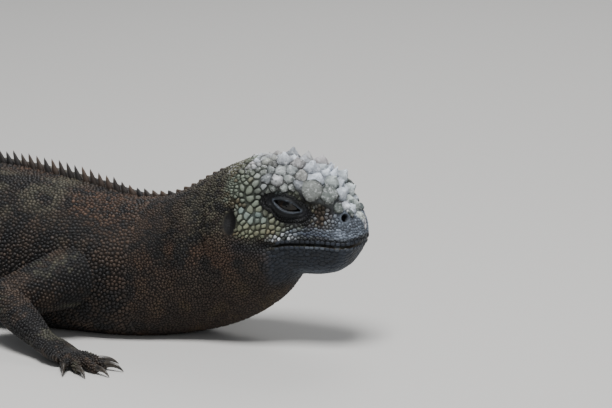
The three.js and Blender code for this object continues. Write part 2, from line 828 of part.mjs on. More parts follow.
const grownTrunk = union([neckSkin, chestSkin, hipsSkin].map((skin) => solid(grown(skin, GAP))));
for (const [sideName, side] of [
  ["left", 1],
  ["right", -1],
]) {
  const fore = limb(side > 0 ? FORE_LEFT : FORE, side, grownTrunk);
  add(`upper_arm_${sideName}`, fore.upper, limbDark);
  add(`forearm_${sideName}`, fore.lower, limbDark);
  add(`hand_${sideName}`, fore.hand, limbDark);
  fore.claws.forEach((claw, i) => add(`finger_claw_${sideName}_${i + 1}`, claw, clawHorn));
  const hind = limb(HIND, side, grownTrunk);
  add(`thigh_${sideName}`, hind.upper, limbDark);
  add(`shin_${sideName}`, hind.lower, limbDark);
  add(`foot_${sideName}`, hind.hand, limbDark);
  hind.claws.forEach((claw, i) => add(`toe_claw_${sideName}_${i + 1}`, claw, clawHorn));
}

export default iguana;
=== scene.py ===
"""Marine iguana: the skin, scales, crest, eyes and claws that dress the solids, and the photo's camera.

Shapes are worked out in millimetres, in the frame of the solids, and turned into metres as meshes are made.
Places along the animal are told by "back", the distance behind the tip of the snout along the spine.
"""

import itertools
import math

import bpy
import numpy as np
from mathutils import Matrix, Vector
from mathutils.bvhtree import BVHTree
from mathutils.kdtree import KDTree


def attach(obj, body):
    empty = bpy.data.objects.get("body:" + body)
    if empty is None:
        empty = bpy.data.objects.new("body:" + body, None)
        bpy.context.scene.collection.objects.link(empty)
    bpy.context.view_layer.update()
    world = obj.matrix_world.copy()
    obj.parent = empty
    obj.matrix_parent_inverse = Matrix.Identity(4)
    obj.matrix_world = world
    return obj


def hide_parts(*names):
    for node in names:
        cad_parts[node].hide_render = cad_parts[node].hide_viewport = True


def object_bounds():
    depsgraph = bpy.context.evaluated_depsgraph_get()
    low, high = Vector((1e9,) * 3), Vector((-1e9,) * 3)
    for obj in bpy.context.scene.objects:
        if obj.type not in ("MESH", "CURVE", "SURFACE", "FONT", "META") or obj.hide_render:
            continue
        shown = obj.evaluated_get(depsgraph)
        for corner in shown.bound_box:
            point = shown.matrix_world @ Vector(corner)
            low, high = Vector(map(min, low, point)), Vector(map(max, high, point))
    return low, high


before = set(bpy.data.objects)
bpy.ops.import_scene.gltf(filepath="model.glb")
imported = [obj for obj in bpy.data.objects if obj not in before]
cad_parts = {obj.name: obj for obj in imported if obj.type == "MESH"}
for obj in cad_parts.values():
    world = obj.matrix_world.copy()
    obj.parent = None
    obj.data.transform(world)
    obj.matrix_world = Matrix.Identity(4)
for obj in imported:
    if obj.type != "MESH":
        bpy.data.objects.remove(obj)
cad_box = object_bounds()

MM = 0.001
BODY_LENGTH = 680
LIP_HEIGHT = 42  # the lips at the tip of the snout, above the floor
SNOUT = (327.8, 10.5)  # where the tip of the snout is, seen from above
COAT = 0.4  # how far the skin lies inside the solids, to leave room for the scales
MOUTH_CORNER = 32


def curve(pairs):
    """A smooth curve through (place, value) pairs that never overshoots them."""
    places, values = np.array(pairs, float).T
    rises = np.diff(values) / np.diff(places)
    slopes = np.empty_like(values)
    slopes[0], slopes[-1] = rises[0], rises[-1]
    product = rises[:-1] * rises[1:]
    total = np.where(product > 0, rises[:-1] + rises[1:], 1)
    slopes[1:-1] = np.where(product > 0, 2 * product / total, 0)

    def value(at):
        at = np.clip(at, places[0], places[-1])
        i = np.clip(np.searchsorted(places, at, side="right") - 1, 0, len(places) - 2)
        span = places[i + 1] - places[i]
        t = (at - places[i]) / span
        ends = values[i] * (1 + 2 * t) * (1 - t) ** 2 + values[i + 1] * t * t * (3 - 2 * t)
        return ends + span * (slopes[i] * t * (1 - t) ** 2 - slopes[i + 1] * t * t * (1 - t))

    return value


def above_lips(*pairs):
    """Pairs of place and height, with the heights counted from the lips."""
    return [(back, LIP_HEIGHT + up) for back, up in pairs]


# The spine seen from above: which way the animal faces at each place, in degrees to its left of +X
facing = curve(
    [(0, 10), (46, 10), (84, 3), (130, 0), (210, -3), (270, 2), (330, 14), (410, 24), (500, 10), (590, -18),
     (BODY_LENGTH, -40)]
)
# The outline of the body: the top and bottom of each section, its half width and where it is widest
top_of = curve(
    above_lips((0, 9.5), (3.4, 10.4), (5.8, 13.4), (8, 17.8), (11, 22.2), (16.5, 25.6), (24, 27.8),
               (33, 28.9), (42, 28.3), (51, 25.2), (61, 20), (70, 14.6), (80, 10.4))
    + [(92, 51), (115, 54), (150, 57.5), (190, 58.5), (222, 56), (250, 50.5), (275, 42), (292, 36.5),
       (330, 29.5), (400, 23), (500, 17), (600, 11), (660, 6), (BODY_LENGTH, 2.6)]
)
bottom_of = curve(
    [(0, 38.5), (2, 36.8), (4, 34), (6.5, 31), (10.5, 28.6), (16.5, 27.4), (22, 27.1), (25, 26), (28, 22.5),
     (31, 18.5), (35, 14.8), (42, 10), (50, 6), (60, 2.6), (70, 0.4), (80, -1.2), (100, -2), (235, -2),
     (258, -0.6), (276, 3.5), (292, 3), (312, 0.6), (330, -0.8), (560, -0.7), (BODY_LENGTH, -0.3)]
)
half_width_of = curve(
    [(0, 8), (3, 10), (6, 11.4), (10, 12.6), (15, 13.6), (20, 14.5), (25, 15.4), (30, 16.4), (36, 17.8),
     (42, 18.8), (48, 19.2), (55, 19), (62, 19.6), (70, 21.8), (80, 25.6), (90, 28.8), (104, 31.5),
     (130, 35.5), (160, 38.5), (190, 39.5), (218, 37), (242, 31.5), (262, 25.5), (278, 20), (294, 15.8),
     (315, 12.8),
     (345, 10.6), (400, 8), (500, 5.2), (600, 3.1), (BODY_LENGTH, 0.9)]
)
mouth_of = curve(above_lips((0, -1), (5, -1.7), (15, -1), (25, -1.2), (32, -2.4)))
widest_of = curve(
    [(back, float(mouth_of(back))) for back in (0, 5, 15, 25, 32)]
    + [(46, 37), (60, 33), (80, 26), (100, 23), (150, 24), (200, 24), (250, 22), (280, 20.5), (300, 18),
       (330, 14.5), (400, 11), (500, 8), (600, 5.2), (BODY_LENGTH, 1.2)]
)
# How square the upper and the lower half of each section is: 2 is an ellipse
squareness_above = curve(
    [(0, 2.5), (10, 2.7), (40, 2.6), (60, 2.15), (100, 2.1), (200, 2.1), (280, 1.9), (340, 1.7),
     (BODY_LENGTH, 1.7)]
)
squareness_below = curve(
    [(0, 2.2), (30, 2.2), (60, 2.3), (90, 2.9), (230, 2.9), (290, 2.3), (BODY_LENGTH, 2.1)]
)
# Bulges and hollows on both sides: place as (back, out, up), reach in each direction, and depth
RELIEF = {
    "brow": ((24, 13.6, 62.6), (10, 4, 3), 2.2),
    "orbit": ((27, 15.5, 55.4), (9, 6, 6.5), -2.8),
    "lore": ((13, 13, 51.5), (5, 5, 4), -0.9),
    "canthus": ((12, 10.8, 58), (7, 3, 2.5), 0.9),
    "nostril mound": ((5, 7.6, 50.6), (2.8, 3, 2.8), 1.1),
    "upper lip": ((14, 14, 44), (12, 6, 2.2), 0.8),
    "lower lip": ((14, 14, 38.5), (12, 6, 1.6), 0.5),
    "jowl": ((40, 18.5, 44), (8, 8, 9), 1.5),
    "temple": ((39, 14, 63), (9, 6, 5), 1.2),
    "ear": ((47.5, 18.5, 49.7), (3, 5, 4.6), -2.2),
    "fold behind the ear": ((53.5, 19, 46), (3, 9, 13), 1.5),
    "neck furrow": ((58.5, 19, 42), (2.6, 9, 16), -1.7),
    "neck fold": ((65, 20, 38), (3.4, 9, 16), 1.5),
    "second neck furrow": ((71.5, 21, 34), (2.8, 9, 15), -1.4),
    "corner of the mouth": ((33.4, 17, 40), (2.4, 4, 1.9), -1.3),
    "jaw bulge": ((16, 9, 32), (9, 6, 5), 0.9),
    "shoulder": ((96, 29, 32), (14, 12, 13), 2.4),
    "hip": ((256, 24, 32), (16, 12, 13), 2.6),
}
NOSE = {"height": LIP_HEIGHT + 3, "round": 5, "blunt": 2.4}  # how the front of the snout closes

ways = np.radians(facing(np.arange(BODY_LENGTH) + 0.5))
SPINE_X = np.concatenate([[SNOUT[0]], SNOUT[0] - np.cumsum(np.cos(ways))])
SPINE_Y = np.concatenate([[SNOUT[1]], SNOUT[1] - np.cumsum(np.sin(ways))])
SPINE_AT = np.arange(BODY_LENGTH + 1)


def circle(count):
    """Angles evenly spaced round a circle."""
    return np.arange(count) * 2 * math.pi / count


def lengths_along(points):
    """How far each point of a line is from its first one, measured along it."""
    return np.concatenate([[0], np.cumsum(np.linalg.norm(np.diff(points, axis=0), axis=1))])


def unit(vectors):
    """Vectors made one long."""
    vectors = np.asarray(vectors, float)
    return vectors / np.maximum(np.linalg.norm(vectors, axis=-1, keepdims=True), 1e-9)


def smooth(low, high, at):
    """0 below low and 1 above high, with a smooth change between them; low may be the larger."""
    t = np.clip((at - low) / (high - low), 0, 1)
    return t * t * (3 - 2 * t)


def bump(at, centre, reach):
    """A bell of height 1 round a centre."""
    return np.exp(-(((at - centre) / reach) ** 2))


def place(back, out, up):
    """The point at a distance back along the spine, out to the left of it, and up from the floor."""
    way = np.radians(facing(back))
    x = np.interp(back, SPINE_AT, SPINE_X) - out * np.sin(way)
    y = np.interp(back, SPINE_AT, SPINE_Y) + out * np.cos(way)
    return np.stack(np.broadcast_arrays(x, y, up), axis=-1).astype(float)


def mouth_groove(back, up):
    """The line of the mouth, cut between two lips."""
    away = up - mouth_of(back)
    lips = 0.35 * bump(np.abs(away), 1.0, 0.6)
    depth = 0.4 + 0.55 * smooth(0, 3, back)
    return (lips - depth * bump(away, 0, 0.3)) * smooth(MOUTH_CORNER + 1, MOUTH_CORNER - 2, back)


def body_point(back, angle, inset=COAT):
    """A point of the body. The angle is 0 on the animal's left, 90 degrees on top and 180 on its right."""
    back, angle = np.broadcast_arrays(np.asarray(back, float), np.asarray(angle, float))
    left = np.maximum(1 - back / NOSE["round"], 0)
    share = (1 - left ** NOSE["blunt"]) ** (1 / NOSE["blunt"])
    widest = NOSE["height"] + (widest_of(back) - NOSE["height"]) * share
    top = NOSE["height"] + (top_of(back) - NOSE["height"]) * share
    bottom = NOSE["height"] + (bottom_of(back) - NOSE["height"]) * share
    sin, cos = np.sin(angle), np.cos(angle)
    above = sin >= 0
    power = np.where(above, squareness_above(back), squareness_below(back))
    width = np.maximum(half_width_of(back) * share - inset, 0.05)
    height = np.maximum(np.where(above, top - widest, widest - bottom) - inset, 0.05)
    reach = (np.abs(cos / width) ** power + np.abs(sin / height) ** power) ** (-1 / power)
    out, up = reach * cos, reach * sin
    slope = unit(
        np.stack(
            [
                np.sign(out) * np.abs(out / width) ** (power - 1) / width,
                np.sign(up) * np.abs(up / height) ** (power - 1) / height,
            ],
            axis=-1,
        )
    )
    push = mouth_groove(back, up + widest)
    for at, far, by in RELIEF.values():
        away = (
            ((back - at[0]) / far[0]) ** 2
            + ((np.abs(out) - at[1]) / far[1]) ** 2
            + ((up + widest - at[2]) / far[2]) ** 2
        )
        push = push + by * np.exp(-away)
    push = push * share
    return place(back, out + push * slope[..., 0], widest + up + push * slope[..., 1])


# The eye, its lids and the slit between them
EYE = {
    "back": 27.3,
    "out": 8.3,
    "up": LIP_HEIGHT + 12.7,
    "radius": 6.3,
    "lid": 7.3,
    "slit": (10.6, 3.3),
    "slant": 19,
}


def eye_axes(side):
    """The centre of an eye and its axes: along the slit forwards, across it upwards, and outwards."""
    centre = place(EYE["back"], side * EYE["out"], EYE["up"])
    outwards = unit(place(EYE["back"] - 0.2, side * (EYE["out"] + 1), EYE["up"] + 0.06) - centre)
    forwards = unit(place(0, 0, 0) - place(10, 0, 0))
    across = unit(forwards - outwards * (forwards @ outwards))
    upwards = np.cross(outwards, across)
    upwards = upwards * np.sign(upwards[2])
    turn = math.radians(EYE["slant"])
    along = across * math.cos(turn) - upwards * math.sin(turn)
    return centre, along, across * math.sin(turn) + upwards * math.cos(turn), outwards


EYES = {side: eye_axes(side) for side in (1, -1)}


def slit_distance(along, across):
    """How far a point is outside the slit between the lids; less than 0 inside it."""
    long, high = EYE["slit"]
    corner = long / 2
    edge = high / 2 * (1 - (along / corner) ** 2)
    inside = np.abs(across) - edge
    beyond = np.hypot(np.abs(along) - corner, across)
    return np.where(np.abs(along) < corner, np.minimum(inside, beyond), beyond)


def with_lids(points):
    """Points of the head with the lids bulged over the eyes and the slits opened."""
    for centre, along_axis, across_axis, outwards in EYES.values():
        away = points - centre
        along, across, depth = away @ along_axis, away @ across_axis, away @ outwards
        from_middle = np.hypot(along, across)
        near = (depth > 0) & (from_middle < 12)
        lid = np.sqrt(np.maximum(EYE["lid"] ** 2 - from_middle**2, 0))
        merging = np.exp(-np.abs(depth - lid) / 0.8) * (from_middle < EYE["lid"])
        raised = np.maximum(depth, lid) + 0.35 * merging
        slit = slit_distance(along, across)
        folds = 0.3 * np.sin(slit * 3.6 + 0.5 * np.sin(along * 0.9) + 0.2 * along) * smooth(1, 1.7, slit)
        folds = folds * smooth(6.8, 4, slit) + 0.1 * np.sin(slit * 9 + along * 1.7) * smooth(1.2, 2, slit)
        rim = 0.4 * bump(slit, 0.4, 0.28)
        pit = np.sqrt(np.maximum((EYE["radius"] - 1) ** 2 - from_middle**2, 0))
        opened = smooth(0.1, -0.35, slit)
        height = (raised + rim + folds) * (1 - opened) + pit * opened
        push = np.where(near, (height - depth) * smooth(12, 9, from_middle), 0)
        points = points + push[..., None] * outwards
    return points


NOSTRIL = {"back": 5, "angle": math.radians(51), "wide": 2.5, "high": 2.9, "depth": 2.6}


def frame_at(surface, back, angle):
    """A surface's point and its axes there: towards the tail, across, and outwards."""
    point = surface(back, angle)
    tailwards = unit(surface(back + 0.3, angle) - surface(np.maximum(back - 0.3, 0.02), angle))
    around = surface(back, angle + 0.015) - surface(back, angle - 0.015)
    outwards = unit(np.cross(tailwards, around))
    return point, tailwards, np.cross(outwards, tailwards), outwards


NOSTRILS = [
    frame_at(body_point, NOSTRIL["back"], angle) for angle in (NOSTRIL["angle"], math.pi - NOSTRIL["angle"])
]


def nostril_share(points, axes):
    """How far points are from the middle of a nostril, where 1 is its edge."""
    centre, tailwards, across, outwards = axes
    away = points - centre
    share = np.hypot(away @ tailwards / (NOSTRIL["wide"] / 2), away @ across / (NOSTRIL["high"] / 2))
    return np.where(np.abs(away @ outwards) < 4, share, 99)


def nostril_distance(points):
    """How far points are from the middle of the nearer nostril, where 1 is its edge."""
    return np.minimum(*(nostril_share(points, axes) for axes in NOSTRILS))


def with_nostrils(points):
    """Points of the head with the nostrils pressed in behind a low rim."""
    for axes in NOSTRILS:
        share = nostril_share(points, axes)
        push = 0.4 * bump(share, 1.4, 0.35) - NOSTRIL["depth"] * smooth(1.15, 0.7, share)
        points = points + push[..., None] * axes[3]
    return points


def surface(back, angle):
    """The skin's surface on the head, body and tail."""
    points = with_nostrils(with_lids(body_point(back, angle)))
    points[..., 2] = np.maximum(points[..., 2], 0.05)
    return points


# Limbs: joints as (back, out, up), and half widths as (along, across, upright)
FORE = {
    "hip": (97, 18, 27),
    "bend": (123, 47, 16.5),
    "wrist": (98, 60, 6.4),
    "knuckles": (87, 64, 3.6),
    "upper": [(0, 12.5, 13.5), (0.5, 9.6, 11), (1, 6.8, 7.4)],
    "lower": [(0, 6.6, 7), (0.4, 6.6, 6.4), (1, 4.5, 4.2)],
    "palm": [(0, 4.6, 3.8), (0.6, 6.4, 3.4), (1, 6.4, 2.7)],
    "digits": [(44, 10), (22, 14.5), (2, 17.5), (-19, 16.5), (-46, 11.5)],
}
# The left hand rests further back than the right one
FORE_LEFT = {**FORE, "bend": (128, 44, 17), "wrist": (108, 61, 6.4), "knuckles": (97, 65, 3.6)}
HIND = {
    "hip": (257, 13, 27),
    "bend": (229, 57, 21),
    "wrist": (262, 74, 7.4),
    "knuckles": (248, 85, 3.8),
    "upper": [(0, 15.5, 15.5), (0.5, 12.4, 13.6), (1, 7.6, 8.2)],
    "lower": [(0, 7.4, 8), (0.35, 7.6, 8), (1, 4.8, 4.6)],
    "palm": [(0, 4.8, 4.4), (0.6, 6.2, 3.8), (1, 6.6, 2.8)],
    "digits": [(42, 11), (21, 17), (2, 23), (-16, 30), (-52, 17)],
}
DIGIT = [(0, 2.5, 2.6), (0.6, 2, 2.2), (1, 1.6, 1.8)]
CLAW = {"length": 7.2, "radius": 1.4}


class Bar:
    """A rounded bar through points, with half widths along it; its round ends reach past the points."""

    def __init__(self, points, sizes, inset=COAT * 0.7):
        self.points = np.array(points, float)
        steps = np.linalg.norm(np.diff(self.points, axis=0), axis=1)
        self.marks = np.concatenate([[0], np.cumsum(steps)]) / steps.sum()
        self.length = steps.sum()
        self.across = curve([(at, wide - inset) for at, wide, _ in sizes])
        self.upright = curve([(at, tall - inset) for at, _, tall in sizes])
        self.past = [min(wide, tall) * 0.9 / self.length for _, wide, tall in (sizes[0], sizes[-1])]

    def middle(self, share):
        """Points of the middle line; shares under 0 and over 1 are past its ends."""
        inner = np.clip(share, 0, 1)
        point = np.stack([np.interp(inner, self.marks, self.points[:, i]) for i in range(3)], axis=-1)
        first = unit(self.points[1] - self.points[0])
        last = unit(self.points[-1] - self.points[-2])
        before = np.minimum(share, 0)[..., None] * self.length * first
        after = np.maximum(share - 1, 0)[..., None] * self.length * last
        return point + before + after

    def point(self, share, angle):
        """A point of the bar's surface."""
        share, angle = np.broadcast_arrays(np.asarray(share, float), np.asarray(angle, float))
        tangent = unit(self.middle(share + 0.02) - self.middle(share - 0.02))
        side = unit(np.cross([0.0, 0.0, 1.0], tangent))
        up = np.cross(tangent, side)
        over = np.maximum(-share / self.past[0], (share - 1) / self.past[1])
        closing = np.sqrt(np.clip(1 - np.maximum(over, 0) ** 2, 0.0001, 1))
        inner = np.clip(share, 0, 1)
        wide = self.across(inner) * closing * np.cos(angle)
        tall = self.upright(inner) * closing * np.sin(angle)
        return self.middle(share) + wide[..., None] * side + tall[..., None] * up

    def shares(self, step):
        """Shares along the bar, ends included, about a step apart."""
        low, high = -self.past[0] * 0.999, 1 + self.past[1] * 0.999
        return np.linspace(low, high, max(4, int((high - low) * self.length / step)))


def limb_parts(joints, side):
    """The bars of a limb, and each claw's root with the direction it points in."""
    places = [joints[name] for name in ("hip", "bend", "wrist", "knuckles")]
    hip, bend, wrist, knuckles = [place(back, side * out, up) for back, out, up in places]
    bars = {
        "upper": Bar([hip, (hip + bend) / 2, bend], joints["upper"]),
        "lower": Bar([bend, (bend + wrist) / 2, wrist], joints["lower"]),
        "palm": Bar([wrist, (wrist + knuckles) / 2, knuckles], joints["palm"]),
    }
    ahead = unit((knuckles - wrist) * [1, 1, 0])
    claws = []
    for i, (fan, length) in enumerate(joints["digits"]):
        turn = side * math.radians(fan)
        way = np.array(
            [
                ahead[0] * math.cos(turn) - ahead[1] * math.sin(turn),
                ahead[0] * math.sin(turn) + ahead[1] * math.cos(turn),
                0,
            ]
        )
        spots = [(-2, 2.9), (length * 0.45, 3.4), (length, 1.7)]
        line = [np.append((knuckles + way * along)[:2], up) for along, up in spots]
        arched = [(line[j] + line[j + 1]) / 2 + [0, 0, 0.35] for j in (0, 1)]
        bars[f"digit_{i + 1}"] = Bar([line[0], arched[0], line[1], arched[1], line[2]], DIGIT)
        claws.append((np.append((knuckles + way * (length + 0.7))[:2], 1.9), way))
    return bars, claws


LIMBS = {
    ("fore", "left"): limb_parts(FORE_LEFT, 1),
    ("fore", "right"): limb_parts(FORE, -1),
    ("hind", "left"): limb_parts(HIND, 1),
    ("hind", "right"): limb_parts(HIND, -1),
}


# Colours, as light sees them
DARK = np.array([0.013, 0.0125, 0.013])
BROWN = np.array([0.042, 0.029, 0.021])
RUST = np.array([0.085, 0.046, 0.028])
OLIVE = np.array([0.085, 0.082, 0.058])
SAGE = np.array([0.135, 0.155, 0.122])
LICHEN = np.array([0.145, 0.155, 0.104])
MINT = np.array([0.145, 0.185, 0.172])
OCHRE = np.array([0.115, 0.086, 0.046])
SALT = np.array([0.540, 0.570, 0.610])
ASH = np.array([0.300, 0.320, 0.345])
PINK = np.array([0.480, 0.410, 0.390])
SLATE = np.array([0.048, 0.062, 0.090])
PALE_SLATE = np.array([0.200, 0.235, 0.290])
# Near black, used for painted shade in the orbits, nostrils and mouth, and in dark mottles
INK = np.array([0.006, 0.0065, 0.009])


def mixed(first, second, share):
    """Two colours, or rows of colours, mixed by shares."""
    return first + (second - first) * np.asarray(share)[..., None]


def noise(points, size, seed):
    """Smooth noise from 0 to 1, with lumps of about the given size in millimetres."""
    at = np.asarray(points, float) / size + 40 + seed * 17.3
    whole = np.floor(at).astype(np.int64)
    t = at - whole
    t = t * t * (3 - 2 * t)
    total = np.zeros(len(at))
    for corner in itertools.product((0, 1), repeat=3):
        mixture = ((whole + corner) * np.array([73856093, 19349663, 83492791])).astype(np.uint64)
        mixture = (mixture[:, 0] ^ mixture[:, 1] ^ mixture[:, 2]) * np.uint64(0x9E3779B97F4A7C15)
        share = np.prod(np.where(corner, t, 1 - t), axis=1)
        total += share * ((mixture >> np.uint64(40)).astype(float) / 2**24)
    return total


def zones(back, angle, points):
    """How far places belong to the crown, temple, cheek and jaw, and how far they are from a slit."""
    up = points[:, 2]
    over = np.degrees(np.arcsin(np.clip(np.sin(angle), -1, 1)))
    edge = np.interp(back, [2, 4, 6, 9, 17, 22, 33, 38, 50], [76, 68, 62, 54, 53, 58, 57, 65, 72])
    crown = smooth(edge - 3, edge + 3, over) * smooth(54, 50, back)
    slit = np.full(len(points), 99.0)
    for centre, along_axis, across_axis, outwards in EYES.values():
        away = points - centre
        across = away @ across_axis
        near = slit_distance(away @ along_axis, across) * (1 + 0.8 * smooth(0.5, 3, across))
        slit = np.where(away @ outwards > 0, np.minimum(slit, near), slit)
    side = 1 - crown
    temple = side * smooth(30, 34, back) * smooth(52, 48, back) * smooth(52.5, 55, up)
    cheek = side * (1 - temple) * smooth(19, 29, back) * smooth(46.5, 43.5, back) * smooth(42.4, 43.8, up)
    jaw = smooth(mouth_of(back) - 0.5, mouth_of(back) - 1.5, up) * smooth(37, 31, back) * smooth(22, 27, up)
    return crown, temple, cheek, jaw, slit


def ear_share(back, points):
    """How far places are from the middle of the eardrum, where 1 is its edge."""
    return np.hypot((back - 47.2) / 2.7, (points[:, 2] - 47.6) / 4.3)


def tint(back, angle, points):
    """The colour of the skin and its scales by their place on the head, body and tail."""
    up = points[:, 2]
    crown, temple, cheek, jaw, slit = zones(back, angle, points)
    fine, lumps, broad = noise(points, 1.3, 5), noise(points, 4.5, 3), noise(points, 15, 4)
    colour = mixed(DARK, BROWN * 1.25, 0.9 * smooth(0.3, 0.75, 0.5 * fine + 0.5 * lumps))

    def layer(own, share):
        nonlocal colour
        colour = mixed(colour, own, share)

    flank = smooth(70, 100, back) * smooth(0.2, 0.9, np.sin(angle))
    layer(RUST, 0.75 * flank * smooth(0.5, 0.68, broad) * smooth(0.3, 0.7, fine))
    layer(OLIVE * 1.1, 0.55 * flank * smooth(0.48, 0.3, broad) * smooth(0.35, 0.65, lumps))

    neck = smooth(40, 47, back) * smooth(100, 62, back)
    nape = neck * smooth(30, 52, up) * smooth(80, 50, back)
    layer(OLIVE, 0.8 * nape * smooth(0.25, 0.7, fine))
    layer(RUST * 0.8, 0.7 * neck * smooth(50, 34, up) * smooth(0.35, 0.75, lumps))
    throat = smooth(34, 20, up) * smooth(26, 34, back) * smooth(90, 60, back)
    layer(BROWN * 1.1, 0.8 * throat)
    layer(OCHRE * 0.6, 0.5 * throat * smooth(0.58, 0.75, lumps))

    face = smooth(46, 38, back) * smooth(36, 40, up)
    own = mixed(OCHRE * 0.4, OLIVE * 1.2, smooth(0.4, 0.6, fine))
    layer(own, face * 0.9)
    own = mixed(INK * 2, LICHEN * 0.8, smooth(0.4, 0.65, fine))
    layer(own, face * bump(back, 22, 7) * 0.8)
    layer(PALE_SLATE * 0.9, 0.7 * face * smooth(0.6, 0.75, fine) * smooth(24, 14, back))
    lore = bump(back, 12, 5) * bump(up, 51.5, 3.5)
    own = mixed(BROWN * 1.2, SALT * 0.42, smooth(0.42, 0.62, noise(points, 1.8, 14)))
    layer(own, 0.85 * lore)
    # A dark band along the lower jowl behind the corner of the mouth: painted shade under the jowl
    layer(INK * 2, 0.85 * smooth(30, 36, back) * smooth(50, 44, back) * bump(up, 39, 3.5))
    layer(RUST, 0.8 * bump(back, 29.5, 3.4) * bump(up, 35, 2.2) * smooth(0.3, 0.6, fine))
    own = mixed(LICHEN, MINT, smooth(47, 51, up) * smooth(0.2, 0.6, lumps))
    own = mixed(own, OCHRE, 0.75 * smooth(48.5, 44, up) * smooth(0.4, 0.8, fine))
    layer(own, cheek)
    own = mixed(SAGE, SALT * 0.62, smooth(40, 32, back) * smooth(0.35, 0.7, lumps))
    own = mixed(own, OCHRE * 0.7, 0.8 * smooth(0.6, 0.75, noise(points, 2.4, 12)) * smooth(36, 44, back))
    layer(own, temple)

    layer(SLATE * 0.24, jaw)
    layer(SLATE * 0.5, 0.7 * jaw * smooth(0.5, 0.75, lumps) * smooth(24, 14, back))
    layer(PALE_SLATE * 0.3, 0.8 * jaw * smooth(32.5, 29.5, up) * smooth(26, 20, back))
    lip = smooth(31, 24, back) * bump(up, mouth_of(back) + 4.3, 2.2)
    layer(SLATE * 0.88, 0.9 * lip)
    snout = smooth(13, 6.5, back) * smooth(mouth_of(back) + 1.5, mouth_of(back) + 4, up)
    layer(mixed(PALE_SLATE * 0.55, PALE_SLATE, smooth(0.35, 0.75, fine)), 0.9 * snout)
    above = up - mouth_of(back)
    labial = smooth(31, 27, back) * smooth(2.9, 2.1, above) * smooth(-0.2, 0.4, above)
    layer(SLATE * 0.22, 0.9 * labial)
    # Painted shade in the hollow at the corner of the mouth
    corner = bump(back, 33.2, 2) * bump(up, 40, 1.6)
    layer(INK, corner)
    tubercles = bump(back, 27.5, 3.6) * bump(up, mouth_of(back) + 2.3, 1.7)
    layer(SALT * 0.8, np.minimum(1, 2 * tubercles) * smooth(0.36, 0.5, fine))

    own = mixed(SALT * 1.08, ASH, smooth(0.42, 0.7, lumps) * (1 - 0.6 * smooth(24, 14, back)))
    own = mixed(own, SALT * [1.1, 1.16, 1.25], 0.5 * smooth(26, 16, back))
    own = mixed(own, OCHRE * 1.3, 0.45 * smooth(0.62, 0.75, noise(points, 3.4, 15)) * smooth(14, 22, back))
    own = mixed(own, PINK, 0.5 * smooth(0.62, 0.8, noise(points, 3, 8)))
    own = mixed(own, SAGE * 1.3, 0.6 * smooth(62, 56, up) * smooth(6, 10, back))
    own = mixed(own, SAGE * 1.6, 0.7 * smooth(0.55, 0.7, noise(points, 4, 18)) * smooth(74, 60, up))
    greener = mixed(SAGE * 1.2, OLIVE * 1.3, smooth(42, 50, back))
    own = mixed(own, greener, smooth(31, 44, back) * smooth(0.2, 0.6, lumps))
    own = mixed(own, OLIVE * 1.3, smooth(42, 50, back))
    layer(own, crown)

    # The lids and orbit round each eye painted near black: dark lid skin and painted shade of the sunken
    # orbit
    layer(INK, 0.97 * smooth(6.9, 4.5, slit))
    layer(PALE_SLATE * 0.42, 0.9 * bump(slit, 0.42, 0.24))
    layer(DARK * 0.4, smooth(1.25, 0.85, ear_share(back, points)))
    nostril = nostril_distance(points)
    # The inside of each nostril painted near black: painted shade in its hollow
    layer(INK * 0.2, smooth(1.15, 0.9, nostril))
    return mixed(colour, PALE_SLATE * 1.1, 0.8 * bump(nostril, 1.4, 0.2))


def unwrapped(back, angle):
    """Where a place of the head, body or tail lies on the skin's flat map: the head has half its width."""
    across = np.where(back < 66, back / 66 * 0.5, 0.5 + (back - 66) / (BODY_LENGTH - 66) * 0.48)
    around = (np.asarray(angle) + math.pi / 2) % (2 * math.pi) / (2 * math.pi)
    return np.stack([0.01 + across, 0.36 + 0.62 * around], axis=-1)


def linked(name, data):
    """A new object of the scene with the given data."""
    thing = bpy.data.objects.new(name, data)
    bpy.context.scene.collection.objects.link(thing)
    return thing


def new_mesh(name, points, faces, colours, material, uvs=None):
    """A mesh object in metres, with a colour for each point and a flat map for each corner."""
    mesh = bpy.data.meshes.new(name)
    faces = [np.asarray(group, dtype=np.int32) for group in faces if len(group)]
    corners = np.concatenate([group.ravel() for group in faces])
    totals = np.concatenate([np.full(len(group), group.shape[1], dtype=np.int32) for group in faces])
    starts = np.concatenate([[0], np.cumsum(totals)[:-1]]).astype(np.int32)
    mesh.vertices.add(len(points))
    mesh.vertices.foreach_set("co", (np.asarray(points) * MM).astype(np.float32).ravel())
    mesh.loops.add(len(corners))
    mesh.loops.foreach_set("vertex_index", corners)
    mesh.polygons.add(len(starts))
    mesh.polygons.foreach_set("loop_start", starts)
    mesh.polygons.foreach_set("loop_total", totals)
    mesh.polygons.foreach_set("use_smooth", np.full(len(starts), True))
    mesh.update(calc_edges=True)
    tints = mesh.attributes.new("tint", "FLOAT_COLOR", "POINT")
    rows = np.ones((len(points), 4), dtype=np.float32)
    rows[:, :3] = colours
    tints.data.foreach_set("color", rows.ravel())
    if uvs is not None:
        layer = mesh.uv_layers.new(name="OFBake")
        layer.data.foreach_set("uv", np.asarray(uvs, dtype=np.float32)[corners].ravel())
    mesh.materials.append(material)
    return linked(name, mesh)


# Materials
def new_material(name, values):
    """A node material, its Principled shader with values set, a function that adds nodes, and its links."""
    material = bpy.data.materials.new(name)
    material.use_nodes = True
    nodes, links = material.node_tree.nodes, material.node_tree.links

    def add(kind, inputs=None, **settings):
        node = nodes.new(kind)
        for key, value in settings.items():
            setattr(node, key, value)
        for key, value in (inputs or {}).items():
            if isinstance(value, bpy.types.NodeSocket):
                links.new(value, node.inputs[key])
            else:
                node.inputs[key].default_value = value
        return node

    shader = nodes["Principled BSDF"]
    for key, value in values.items():
        shader.inputs[key].default_value = value
    return material, shader, add, links


SALT_CRUST = (0.74, 0.75, 0.77, 1)


